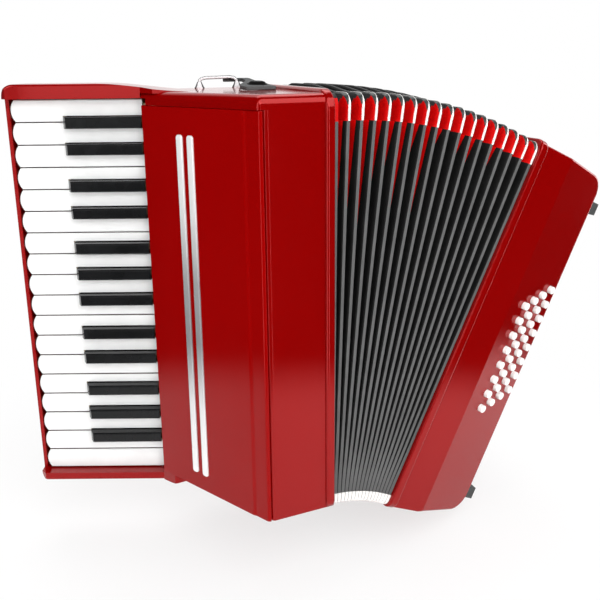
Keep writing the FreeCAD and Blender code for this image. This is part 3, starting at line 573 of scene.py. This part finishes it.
FOLDS = 17
PEAK_Y = 0.0812                                     # half depth, front to back
PEAK_BOTTOM, PEAK_TOP = -0.0006, HEIGHT - 0.0010
BOTTOM_RADIUS, TOP_RADIUS = 0.0060, 0.0098          # of the corners
LEAST_RADIUS = 0.0008                               # of the corners deep in a valley
VALLEY_DEPTH = 0.0190
LINER_DEPTH = 0.0011                                # of the inner face behind the outer one

# the corner zones, where the gussets and metals are
CORNER_BOTTOM = PEAK_BOTTOM + 0.0112
CORNER_TOP = PEAK_TOP - 0.0218
CORNER_Y = PEAK_Y - 0.0260
NEAR = 1e-5

RIM_SHARE = 0.0140              # share of the fan before the first fold
RIM_TAPE_SHARE = 0.0215         # share covered by the first tape, at the treble rim
SAG = 0.0034                    # the folds hang lower between the two ends
CROWN = 0.0048                  # and stand a little proud on top

# side is front, top, back, bottom or corner; turn is how far round a corner the point lies,
# 0 on the upright sides and 1 on the level ones
PeakPoint = namedtuple("PeakPoint", "y z normal_y normal_z side turn")
# fold counts from the treble end; strip names what starts at the station
Station = namedtuple("Station", "share depth strip fold")


def straight(start, end, steps, normal, side):
    turn = 0.0 if side in ("front", "back") else 1.0
    return [PeakPoint(start[0] + (end[0] - start[0]) * i / steps if False else
                      start[0] + (end[0] - start[0]) * (i / steps),
                      start[1] + (end[1] - start[1]) * (i / steps), *normal, side, turn)
            for i in range(steps)] if False else [
        PeakPoint(start[0] + (end[0] - start[0]) * (i / steps),
                  start[1] + (end[1] - start[1]) * (i / steps), *normal, side, turn)
        for i in range(steps)]


def corner(y, z, radius, quarter):
    """A corner about (y, z), turning back through 90 degrees from the given quarter turn."""
    steps = 16
    points = []
    for i in range(steps):
        t = i / steps
        angle = quarter * math.pi / 2 - math.pi / 2 * t
        cos, sin = math.cos(angle), math.sin(angle)
        turn = t if quarter % 2 == 0 else 1 - t
        points.append(PeakPoint(y + radius * cos, z + radius * sin, cos, sin, "corner", turn))
    return points


def peak_line():
    """The peak line, from the foot of the front up and over the top."""
    low, high = PEAK_BOTTOM + BOTTOM_RADIUS, PEAK_TOP - TOP_RADIUS
    top_y, bottom_y = PEAK_Y - TOP_RADIUS, PEAK_Y - BOTTOM_RADIUS
    front, top, back, bottom = (-1, 0), (0, 1), (1, 0), (0, -1)
    return [
        *straight((-PEAK_Y, low), (-PEAK_Y, CORNER_BOTTOM), 3, front, "front"),
        *straight((-PEAK_Y, CORNER_BOTTOM), (-PEAK_Y, CORNER_TOP), 52, front, "front"),
        *straight((-PEAK_Y, CORNER_TOP), (-PEAK_Y, high), 4, front, "front"),
        *corner(-top_y, high, TOP_RADIUS, quarter=2),
        *straight((-top_y, PEAK_TOP), (-CORNER_Y, PEAK_TOP), 4, top, "top"),
        *straight((-CORNER_Y, PEAK_TOP), (CORNER_Y, PEAK_TOP), 14, top, "top"),
        *straight((CORNER_Y, PEAK_TOP), (top_y, PEAK_TOP), 4, top, "top"),
        *corner(top_y, high, TOP_RADIUS, quarter=1),
        *straight((PEAK_Y, high), (PEAK_Y, CORNER_TOP), 4, back, "back"),
        *straight((PEAK_Y, CORNER_TOP), (PEAK_Y, CORNER_BOTTOM), 52, back, "back"),
        *straight((PEAK_Y, CORNER_BOTTOM), (PEAK_Y, low), 3, back, "back"),
        *corner(bottom_y, low, BOTTOM_RADIUS, quarter=0),
        *straight((bottom_y, PEAK_BOTTOM), (CORNER_Y, PEAK_BOTTOM), 5, bottom, "bottom"),
        *straight((CORNER_Y, PEAK_BOTTOM), (-CORNER_Y, PEAK_BOTTOM), 14, bottom, "bottom"),
        *straight((-CORNER_Y, PEAK_BOTTOM), (-bottom_y, PEAK_BOTTOM), 5, bottom, "bottom"),
        *corner(-bottom_y, low, BOTTOM_RADIUS, quarter=-1),
    ]


PEAK_LINE = peak_line()


def in_corner_zone(y, z):
    in_height = z < CORNER_BOTTOM + NEAR if z < HEIGHT / 2 else z > CORNER_TOP - NEAR
    return in_height and abs(y) > CORNER_Y - NEAR


def fan_share(fold, across):
    """Share of the fan at a place 0 to 1 across a fold."""
    return RIM_SHARE + (1 - RIM_SHARE) * (fold + across) / FOLDS


def fold_pitch(z):
    """Width of one fold at a height, with the fan open."""
    return (BELLOWS_WIDTH / FOLDS + (z - PIVOT[2]) * (FAN_ANGLE / FOLDS)) * (1 - RIM_SHARE)


def hang(share, y, z):
    """Heights with the sag of the lower edge and the crown of the top."""
    low = np.clip(1 - (z - PEAK_BOTTOM) / 0.075, 0, 1)
    sagged = z - SAG * np.sin(np.pi * np.clip(share, 0, 1)) ** 0.8 * low ** 1.5
    ease_width = np.where(y < 0, 0.055, 0.025)      # from the front and from the back
    t = np.clip((PEAK_Y - 0.020 - np.abs(y)) / ease_width, 0, 1)
    from_end = np.clip(np.minimum(share, 1 - share) / 0.03, 0, 1)
    return sagged + CROWN * t * t * (3 - 2 * t) * (z > HEIGHT - 0.030) * (0.3 + 0.7 * from_end)


def bellows_object(name, places, faces, materials, face_materials, sharp_angle):
    """An object on the bellows that follows the fan joint, each point by its own share."""
    share, y, z = np.array(places).T
    closed = np.column_stack([TREBLE_X + BELLOWS_WIDTH * share, y, hang(share, y, z)])
    obj = new_object(name, fan(closed, share), faces, materials, face_materials, sharp_angle)
    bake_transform(obj)
    return obj


# ---------------------------------------------------------------- bellows: the folded skin

# per fold, how far down from the top corners the red gusset shows in the valley
RED_REACH = [0.110, 0.085, 0.120, 0.060, 0.045, 0.110, 0.030, 0.135, 0.018,
             0.0, 0.026, 0.036, 0.0, 0.030, 0.0, 0.0, 0.0]
RED_DEPTH_TOP, RED_DEPTH_END = 0.0044, 0.0108       # where the red starts, down its reach
CARD_DEPTH = 0.0120                                 # the same station where no red shows
EDGING_DEPTH = 0.0010
EDGING_START = 6                                    # index of its station in fold_profile


def corner_spread(turn):
    """How far the crest has widened again on its way round a top corner."""
    return min(1.0, max(0.0, turn - 0.15) / 0.45)


def crest_width(z, turn):
    """The whole peak, edging included; narrow where the top metals sit."""
    if z > CORNER_TOP + NEAR:
        return 0.0026 + 0.0016 * corner_spread(turn)
    return min(0.0040, 0.93 * fold_pitch(z))


def tape_width(z, turn):
    """The light tape on the peak, wider towards the bottom."""
    if z > CORNER_TOP + NEAR:
        return 0.0020 + 0.0011 * corner_spread(turn)
    return min(0.965 * fold_pitch(z), 0.0031 + max(0.0, (0.060 - z) / 0.060) * 0.0012)


def red_depth(fold, z):
    """Depth below which the gusset leather shows, or None where it doesn't reach."""
    if RED_REACH[fold] == 0.0:
        return None
    t = (CORNER_TOP - z) / RED_REACH[fold]
    if t > 1.0:
        return None
    return RED_DEPTH_TOP + (RED_DEPTH_END - RED_DEPTH_TOP) * max(t, 0.0)


def fold_profile(point, fold):
    """Stations across one fold as (place 0 to 1, depth, strip that starts there)."""
    z = point.z
    crest = crest_width(z, point.turn) / fold_pitch(z)
    tape = tape_width(z, point.turn) / fold_pitch(z)
    crest = min(max(crest, tape + 0.02), 0.985)
    tape = min(tape, crest - 0.01)
    crest_start = 1.0 - crest
    valley = crest_start * 0.5
    rise = crest_start - valley
    red = red_depth(fold, z)
    cut = CARD_DEPTH if red is None else red
    return [
        (0.0, 0.0011, "card"),
        (valley * 0.36, 0.0075, "card"),
        (valley * 0.93, VALLEY_DEPTH * 0.97, "card"),
        (valley, VALLEY_DEPTH, "card"),
        (valley + rise * 0.07, VALLEY_DEPTH * 0.97, "deep"),
        (crest_start - rise * (cut / VALLEY_DEPTH), cut, "card"),
        (crest_start - rise * (EDGING_DEPTH / VALLEY_DEPTH), EDGING_DEPTH, "edging"),
        (crest_start + (crest - tape) * 0.5, 0.0004, "edging"),
        (1.0 - tape, 0.00015, "tape"),
        (1.0 - tape * 0.75, -0.00015, "tape"),
        (1.0 - tape * 0.16, -0.00010, "tape"),
    ]


def make_room_for_rim_tape(profile):
    """Squeeze the first fold's valley, because the rim tape takes part of its width."""
    end = profile[EDGING_START][0]
    start = min((RIM_TAPE_SHARE - RIM_SHARE) / (1 - RIM_SHARE) * FOLDS, 0.6 * end)
    return [(start + (end - start) * across / end if across <= end else across, depth, strip)
            for across, depth, strip in profile]


def skin_row(point):
    """Stations from the treble rim to the bass rim at one point of the peak line."""
    row = [Station(0.0, 0.0006, "rim", 0),
           Station(RIM_TAPE_SHARE * 0.22, -0.0001, "rim", 0),
           Station(RIM_TAPE_SHARE * 0.90, 0.0, "rim", 0)]
    for fold in range(FOLDS):
        profile = fold_profile(point, fold)
        if fold == 0:
            profile = make_room_for_rim_tape(profile)
        row += [Station(fan_share(fold, across), depth, strip, fold)
                for across, depth, strip in profile]
    return row + [Station(1.0, 0.0006, "rim", FOLDS)]


def sink(point, depth):
    """The (y, z) at a depth below a point of the peak line, kept clear of the corners."""
    low = point.z < HEIGHT / 2
    radius = BOTTOM_RADIUS if low else TOP_RADIUS
    if point.side == "corner":
        inner = max(radius - depth, LEAST_RADIUS)
        centre_y = math.copysign(PEAK_Y - depth - inner, point.y)
        centre_z = PEAK_BOTTOM + depth + inner if low else PEAK_TOP - depth - inner
        return centre_y + point.normal_y * inner, centre_z + point.normal_z * inner
    y = point.y - point.normal_y * depth
    z = point.z - point.normal_z * depth
    least = depth + LEAST_RADIUS
    if point.side in ("front", "back"):
        z = max(z, PEAK_BOTTOM + max(BOTTOM_RADIUS, least))
        return y, min(z, PEAK_TOP - max(TOP_RADIUS, least))
    limit = PEAK_Y - max(radius, least)
    return min(max(y, -limit), limit), z


def corner_material(z, turn, start, end):
    """Gusset and edging on the corners; the top corners turn dark on their level side."""
    top = z > HEIGHT / 2
    if start.strip in ("edging", "tape") and (turn > 0.08 or not top):
        return EDGING
    depth_share = min(1.0, (start.depth + end.depth) / 2 / 0.006)
    return TOP_TAPE if top and turn > 0.44 + 0.58 * depth_share else GUSSET


def skin_material(here, there, start, end):
    """Material of the face between two points of the peak line and two stations."""
    y, z = (here.y + there.y) / 2, (here.z + there.z) / 2
    upright = here.side in ("front", "back")
    if in_corner_zone(y, z):
        if here.side == "top":
            return TOP_TAPE
        return corner_material(z, (here.turn + there.turn) / 2, start, end)
    if start.strip in ("tape", "rim"):
        return TAPE if upright else TOP_TAPE
    # the deep valley faces take the brighter copy of the gusset, painted light against the
    # valley shade
    if start.strip == "deep" and upright and red_depth(start.fold, z) is not None:
        return GUSSET_PAINTED_LIGHT
    return CARD


def bellows_skin():
    """The folded outer face and the liner behind it, joined at both rims."""
    rows = [skin_row(point) for point in PEAK_LINE]
    width = len(rows[0])
    places = [(station.share, *sink(point, station.depth + inset))
              for inset in (0.0, LINER_DEPTH)
              for point, row in zip(PEAK_LINE, rows) for station in row]
    liner = len(PEAK_LINE) * width          # index of the liner's first vertex
    faces, face_materials = [], []
    for i, (point, row) in enumerate(zip(PEAK_LINE, rows)):
        k = (i + 1) % len(PEAK_LINE)
        here, there = i * width, k * width
        for j in range(width - 1):
            a, b, c, d = here + j, here + j + 1, there + j + 1, there + j
            faces.append((a, d, c, b))
            face_materials.append(skin_material(point, PEAK_LINE[k], row[j], row[j + 1]))
            faces.append((liner + a, liner + b, liner + c, liner + d))
            face_materials.append(LINER)
        faces.append((here, liner + here, liner + there, there))
        here, there = here + width - 1, there + width - 1
        faces.append((here, there, liner + there, liner + here))
        face_materials += [TAPE, TAPE]
    skin = bellows_object(
        "bellows_skin", places, faces,
        [GUSSET, CARD, TAPE, EDGING, TOP_TAPE, LINER, GUSSET_PAINTED_LIGHT], face_materials,
        sharp_angle=32.0)
    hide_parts(*["bellows_fold_%d" % (i + 1) for i in range(7)])


bellows_skin()


# ---------------------------------------------------------------- bellows: corner metals

METAL_END = 1.0 - 0.02          # across the fold, the edge towards the bass
TOP_TIP = 0.20                  # share of their width left on the level side on top


def rounded_tip(y, radius):
    """Share of the width left as a metal runs to a rounded tip on the level side."""
    return math.sqrt(max(0.03, 1 - max(0.0, (PEAK_Y - abs(y) - radius)
                                       / (PEAK_Y - CORNER_Y - radius)) ** 2))


def metal_profile(point):
    """A metal's outline across its fold, as (place 0 to 1, depth)."""
    pitch = fold_pitch(point.z)
    if point.z < HEIGHT / 2:
        full = 0.84 * pitch / pitch
        taper = rounded_tip(point.y, BOTTOM_RADIUS) if point.side == "bottom" else 1.0
        lean, height = 0.0, 0.0009
    else:
        full = 0.0020 / pitch
        if point.side == "top":
            taper = TOP_TIP * rounded_tip(point.y, TOP_RADIUS)
        else:
            taper = TOP_TIP + (1 - TOP_TIP) * (1 - min(1.0, point.turn / 0.55)) ** 0.9
        lean, height = (1 - taper) * 0.25 * full, 0.0003 + 0.0006 * taper
    middle = METAL_END - full / 2 + lean
    half = full / 2 * taper
    return [(middle - half, 0.0003), (middle - half, -height * 0.5),
            (middle - half * 0.6, -height), (middle + half * 0.6, -height),
            (middle + half, -height * 0.5), (middle + half, 0.0003)]


def corner_runs():
    """The stretches of the peak line that lie in the corner zones."""
    zoned = [in_corner_zone(point.y, point.z) for point in PEAK_LINE]
    first = zoned.index(False)
    order = [(i + first) % len(zoned) for i in range(len(zoned))]
    return [[PEAK_LINE[i] for i in run] for in_zone, run in groupby(order, zoned.__getitem__)
            if in_zone]


def corner_metals():
    """Thin shells wrapped over the peaks at all four corners of every fold."""
    places, faces = [], []
    runs = corner_runs()
    size = 6        # points in a metal's outline
    for fold in range(FOLDS):
        for run in runs:
            base = len(places)
            for point in run:
                for across, depth in metal_profile(point):
                    places.append((fan_share(fold, across), point.y - point.normal_y * depth,
                                   point.z - point.normal_z * depth))
            for i in range(len(run) - 1):
                ring = base + i * size
                for j in range(size):
                    k = (j + 1) % size
                    faces.append((ring + j, ring + size + j, ring + size + k, ring + k))
            last = base + (len(run) - 1) * size
            faces.append(tuple(range(base, base + size)))
            faces.append(tuple(reversed(range(last, last + size))))
    metals = bellows_object("bellows_corner_metals", places, faces, [NICKEL], None,
                            sharp_angle=50)


corner_metals()


# ---------------------------------------------------------------- hand strap on the bass end
# built in the closed frame, then fanned with the casing

STRAP_FRONT, STRAP_BACK = -0.004, 0.046
STRAP_WIDTH = STRAP_BACK - STRAP_FRONT - 0.001
STRAP_Y = (STRAP_FRONT + STRAP_BACK) / 2
STRAP_BOTTOM, STRAP_TOP = 0.046, 0.318
STRAP_BOW = 0.0345              # how far it stands off the casing
ACROSS = np.array([0.0, 1.0, 0.0])


def strap_path():
    """Centre line: out of the casing, up in a bow and back in."""
    steps = 72
    path = [(BASS_END_X - inset, STRAP_Y, STRAP_BOTTOM) for inset in (0.011, 0.004)]
    for i in range(steps + 1):
        t = i / steps
        bow = STRAP_BOW * math.sin(math.pi * t) ** 0.62
        z = STRAP_BOTTOM + (STRAP_TOP - STRAP_BOTTOM) * t
        path.append((BASS_END_X + 0.0022 + bow, STRAP_Y, z))
    path += [(BASS_END_X - inset, STRAP_Y, STRAP_TOP) for inset in (0.004, 0.011)]
    path = np.array(path)
    for _ in range(2):      # soften the bends at the ends
        path[2:-2] = (path[1:-3] + 2 * path[2:-2] + path[3:-1]) / 4
    return path


def strap_padding(t):
    """1 in the padded middle, 0 at the ends."""
    return math.sin(math.pi * t) ** 0.7


def strap_thickness(t):
    return 0.0026 + 0.0022 * strap_padding(t)


SECTION_STEPS = 10              # across each face of the strap


def strap_section(t):
    """Outline as (across, outwards): crowned outer face, edge, flat inner face, edge."""
    half, thick = STRAP_WIDTH / 2, strap_thickness(t) / 2
    flat = half - 0.0011
    crown = 0.0007 * strap_padding(t)
    offsets = [flat - 2 * flat * i / SECTION_STEPS for i in range(SECTION_STEPS + 1)]
    edge = [(half - 0.0003, thick - 0.0006), (half, 0.0), (half - 0.0003, -thick + 0.0006)]
    return [*[(a, thick + crown * (1 - (a / half) ** 2)) for a in offsets],
            *[(-a, b) for a, b in edge],
            *[(-a, -thick) for a in offsets],
            *[(a, b) for a, b in reversed(edge)]]


def hand_strap(path):
    vertices = []
    last = len(path) - 1
    for i, place in enumerate(path):
        tangent = path[min(i + 1, last)] - path[max(i - 1, 0)]
        outwards = np.cross(ACROSS, tangent / np.linalg.norm(tangent))
        outwards /= np.linalg.norm(outwards)
        section = strap_section(i / last)
        vertices += [place + ACROSS * a + outwards * b for a, b in section]
    size = len(section)
    inner_start = SECTION_STEPS + 4         # the inner face's first point
    inner = range(inner_start, inner_start + SECTION_STEPS + 1)
    sides = [SUEDE if j in inner else STRAP for j in range(size)]
    strap = new_object("bass_hand_strap", fan(np.array(vertices), 1.0),
                       tube_faces(len(path), size), [STRAP, SUEDE],
                       sides * last + [STRAP, STRAP], sharp_angle=50)
    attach(strap, "bass")
    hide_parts("bass_strap")


STITCH_LENGTH, STITCH_RADIUS = 0.0028, 0.00042
STITCH_SIDES = 6
# (place along the stitch, share of its radius, how far it sinks into the leather)
STITCH_STATIONS = [(-0.5, 0.15, 0.0002), (-0.42, 0.8, 0.0002), (-0.2, 1.0, 0.0),
                   (0.2, 1.0, 0.0), (0.42, 0.8, 0.0002), (0.5, 0.15, 0.0002)]


def stitch_vertices(place, outwards, tangent):
    """One rounded bar of thread."""
    side = np.cross(outwards, tangent)
    vertices = []
    for along, thickness, sunk in STITCH_STATIONS:
        for i in range(STITCH_SIDES):
            angle = 2 * math.pi * i / STITCH_SIDES
            spoke = side * math.cos(angle) + outwards * math.sin(angle)
            vertices.append(place + tangent * (along * STITCH_LENGTH)
                            + spoke * STITCH_RADIUS * thickness - outwards * sunk)
    return vertices


def strap_stitches(path):
    """A row of stitches along both edges of the strap's outer face."""
    vertices, faces = [], []
    for i in range(3, len(path) - 4):
        step = path[i + 1] - path[i]
        tangent = step / np.linalg.norm(step)
        outwards = np.cross(ACROSS, tangent)
        lift = strap_thickness(i / (len(path) - 1)) / 2 + 0.0002
        for sign in (-1, 1):
            place = ((path[i] + path[i + 1]) / 2 + ACROSS * sign * (STRAP_WIDTH / 2 - 0.0038)
                     + outwards * lift)
            faces += tube_faces(len(STITCH_STATIONS), STITCH_SIDES, base=len(vertices))
            vertices += stitch_vertices(place, outwards, tangent)
    stitches = new_object("bass_strap_stitches", fan(np.array(vertices), 1.0), faces, [THREAD],
                          sharp_angle=60)
    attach(stitches, "bass")


STRAP_PATH = strap_path()
hand_strap(STRAP_PATH)
strap_stitches(STRAP_PATH)


# ---------------------------------------------------------------- snap strap on the treble top

# (x, y) round the leather tab
SNAP_STRAP_OUTLINE = [
    (-0.0130, -0.0010), (-0.0126, -0.0028), (-0.0110, -0.0035), (0.0130, -0.0035),
    (0.0146, -0.0028), (0.0150, -0.0010), (0.0156, 0.0150), (0.0161, 0.0300),
    (0.0168, 0.0500), (0.0174, 0.0700), (0.0176, 0.0785), (0.0168, 0.0830),
    (0.0040, 0.0832), (-0.0070, 0.0832), (-0.0080, 0.0826), (-0.0078, 0.0800),
    (-0.0066, 0.0795), (0.0060, 0.0795), (0.0092, 0.0780), (0.0095, 0.0700),
    (0.0072, 0.0600), (0.0010, 0.0460), (-0.0060, 0.0330), (-0.0105, 0.0220),
    (-0.0122, 0.0140),
]
# (radius, height) up the cap
SNAP_PROFILE = [
    (0.0093, 0.0), (0.0096, 0.0004), (0.0094, 0.0013), (0.0086, 0.0017), (0.0078, 0.0017),
    (0.0075, 0.0023), (0.0066, 0.0032), (0.0046, 0.0038), (0.0016, 0.0040),
]
SNAP_X, SNAP_Y, SNAP_Z = 0.0045, 0.0180, HEIGHT + 0.0035


def snap_strap_lift(y):
    """The strap springs up towards its free end at the back."""
    return 0.0052 * min(max((y - 0.006) / 0.074, 0.0), 1.0) ** 1.3


def snap_strap():
    """A flat leather tab with softened edges."""
    bottom, top = HEIGHT + 0.0001, HEIGHT + 0.0034
    bevel = 0.0006
    # (inset, z) of each ring
    rings = [(bevel, bottom), (0.0, bottom + bevel), (0.0, top - bevel),
             (bevel * 0.4, top - bevel * 0.3), (bevel * 1.4, top)]
    outline = np.array(SNAP_STRAP_OUTLINE)
    centre = np.mean(outline, axis=0)
    vertices = []
    for inset, z in rings:
        for corner_point in outline:
            offset = corner_point - centre
            x, y = centre + offset * (1 - inset / np.linalg.norm(offset))
            vertices.append((x, y, z + snap_strap_lift(y)))
    strap = new_object("bellows_snap_strap", vertices, tube_faces(len(rings), len(outline)),
                       [SNAP_STRAP], sharp_angle=40)
    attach(strap, "treble")
    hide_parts("bellows_strap")


def snap_cap():
    """A round cap, tilted with the strap; the middle of its top matches the leather."""
    segments = 48
    vertices = []
    for radius, height in SNAP_PROFILE:
        for i in range(segments):
            angle = 2 * math.pi * i / segments
            vertices.append((SNAP_X + radius * math.cos(angle),
                             SNAP_Y + radius * math.sin(angle), SNAP_Z + height))
    black_bands = len(SNAP_PROFILE) - 2
    face_materials = ([SNAP_BLACK] * (black_bands * segments) + [SNAP_STRAP] * segments
                      + [SNAP_BLACK, SNAP_STRAP])
    cap = new_object("bellows_strap_snap", vertices, tube_faces(len(SNAP_PROFILE), segments),
                     [SNAP_BLACK, SNAP_STRAP], face_materials, sharp_angle=35)
    seat = Vector((0, SNAP_Y, SNAP_Z))
    tilt = Matrix.Rotation(math.radians(3.6), 4, "X")
    cap.data.transform(Matrix.Translation(seat) @ tilt @ Matrix.Translation(-seat))
    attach(cap, "treble")


snap_strap()
snap_cap()


# ---------------------------------------------------------------- floor

FLOOR_Z = -0.078


def floor_material():
    """Pale grey near the object, fading to plain white for the camera and out of reflections."""
    material, tree, bsdf = new_material("studio_floor")
    where = add(tree, "TexCoord").outputs["Object"]
    feed(bsdf, {
        "Base Color": mottle(tree, noise(tree, where, 3.0, detail=2.0),
                             (0.86, 0.86, 0.86), (0.88, 0.88, 0.88)),
        "Roughness": 0.9,
        SPECULAR: 0.1,
    })
    distance = add(tree, "VectorMath", {0: where, 1: (0.04, 0.02, FLOOR_Z)},
                   operation="DISTANCE").outputs["Value"]
    ray = add(tree, "LightPath").outputs
    white = add(tree, "Emission", {"Color": WHITE, "Strength": 1.0}).outputs[0]
    clear = add(tree, "BsdfTransparent").outputs[0]
    fade = remap(tree, distance, span=(0.20, 0.55), smooth=True)
    whiteness = multiply(tree, remap(tree, fade, to=(0.68, 1.0)), ray["Is Camera Ray"])
    surface = mix_shader(tree, whiteness, bsdf.outputs[0], white)
    vanish = multiply(tree, remap(tree, distance, span=(0.44, 0.62), smooth=True),
                      ray["Is Glossy Ray"])
    feed(tree.nodes["Material Output"], {0: mix_shader(tree, vanish, surface, clear)})
    return material


FLOOR_CORNERS = [(-6.0, -6.0, FLOOR_Z), (7.0, -6.0, FLOOR_Z),
                 (7.0, 9.0, FLOOR_Z), (-6.0, 9.0, FLOOR_Z)]
new_object("studio_floor", FLOOR_CORNERS, [(0, 1, 2, 3)], [floor_material()])


# ---------------------------------------------------------------- lights

# name, place, target, width and height in metres, power in watts
LIGHTS = [
    ("left_strip", (-1.22, -0.66, 0.10), (0.0, 0.0, 0.10), (0.36, 2.0), 9.0),
    ("front_strip", (0.26, -1.36, 0.10), (0.0, -0.08, 0.10), (0.10, 2.0), 4.0),
    ("right_strip", (1.32, 0.0, 0.10), (0.1, -0.03, 0.10), (0.20, 2.0), 6.0),
    ("cheek_card", (-0.80, -0.98, 0.43), (-0.15, 0.05, 0.37), (0.60, 0.30), 0.9),
    ("front_light", (0.30, -1.35, 1.35), (0.03, 0.0, 0.1), (2.0, 1.5), 28.0),
    ("key_light", (-0.7, -1.6, 1.5), (0.0, 0.0, 0.1), (1.0, 0.7), 5.0),
    ("top_light", (0.1, 0.5, 1.7), (0.0, 0.0, 0.1), (1.2, 0.9), 9.0),
]


def area_light(name, place, target, size, power):
    light = bpy.data.lights.new(name, "AREA")
    light.shape = "RECTANGLE"
    light.size, light.size_y = size
    light.energy = power
    obj = bpy.data.objects.new(name, light)
    obj.location = place
    aim = Vector(target) - Vector(place)
    obj.rotation_euler = aim.to_track_quat("-Z", "Y").to_euler()
    SCENE.collection.objects.link(obj)


for light_settings in LIGHTS:
    area_light(*light_settings)


# ---------------------------------------------------------------- world

def studio_world():
    """White to the camera, soft fill light, and a white wall behind seen only in gloss."""
    world = bpy.data.worlds.new("studio_world")
    SCENE.world = world
    world.use_nodes = True
    tree = world.node_tree
    tree.nodes.clear()
    output = add(tree, "OutputWorld")
    direction = add(tree, "TexCoord").outputs["Generated"]
    towards_wall = add(tree, "VectorMath", {0: direction, 1: (0.383, 0.924, 0.0)},
                       operation="DOT_PRODUCT").outputs["Value"]
    wall = remap(tree, towards_wall, to=(0.015, 1.0), span=(0.35, 0.7), smooth=True)
    fill, backdrop, gloss = [
        add(tree, "Background", {"Color": WHITE, "Strength": strength}).outputs[0]
        for strength in (0.52, 1.0, wall)]
    ray = add(tree, "LightPath").outputs
    lighting = mix_shader(tree, ray["Is Glossy Ray"], fill, gloss)
    feed(output, {0: mix_shader(tree, ray["Is Camera Ray"], lighting, backdrop)})


studio_world()
SCENE.view_settings.view_transform = "Standard"
SCENE.view_settings.exposure = 0.0


# ---------------------------------------------------------------- camera

CAMERA_PLACE = (-0.2105, -0.5970, 0.3927)
YAW, PITCH, ROLL = math.radians(22.5), math.radians(14.2), math.radians(-0.6)


def camera():
    """In front and to the left, looking right and down."""
    data = bpy.data.cameras.new("camera")
    data.sensor_width = 36.0
    data.lens = 42.756
    data.shift_y = -0.1
    data.clip_start = 0.01
    data.clip_end = 50
    obj = bpy.data.objects.new("camera", data)
    SCENE.collection.objects.link(obj)
    forward = Vector((math.sin(YAW) * math.cos(PITCH), math.cos(YAW) * math.cos(PITCH),
                      -math.sin(PITCH)))
    right = Vector((math.cos(YAW), -math.sin(YAW), 0))
    up = right.cross(forward)
    rolled_right = right * math.cos(ROLL) + up * math.sin(ROLL)
    rolled_up = -right * math.sin(ROLL) + up * math.cos(ROLL)
    rotation = Matrix((rolled_right, rolled_up, -forward)).transposed()
    obj.matrix_world = Matrix.Translation(CAMERA_PLACE) @ rotation.to_4x4()
    SCENE.camera = obj


camera()
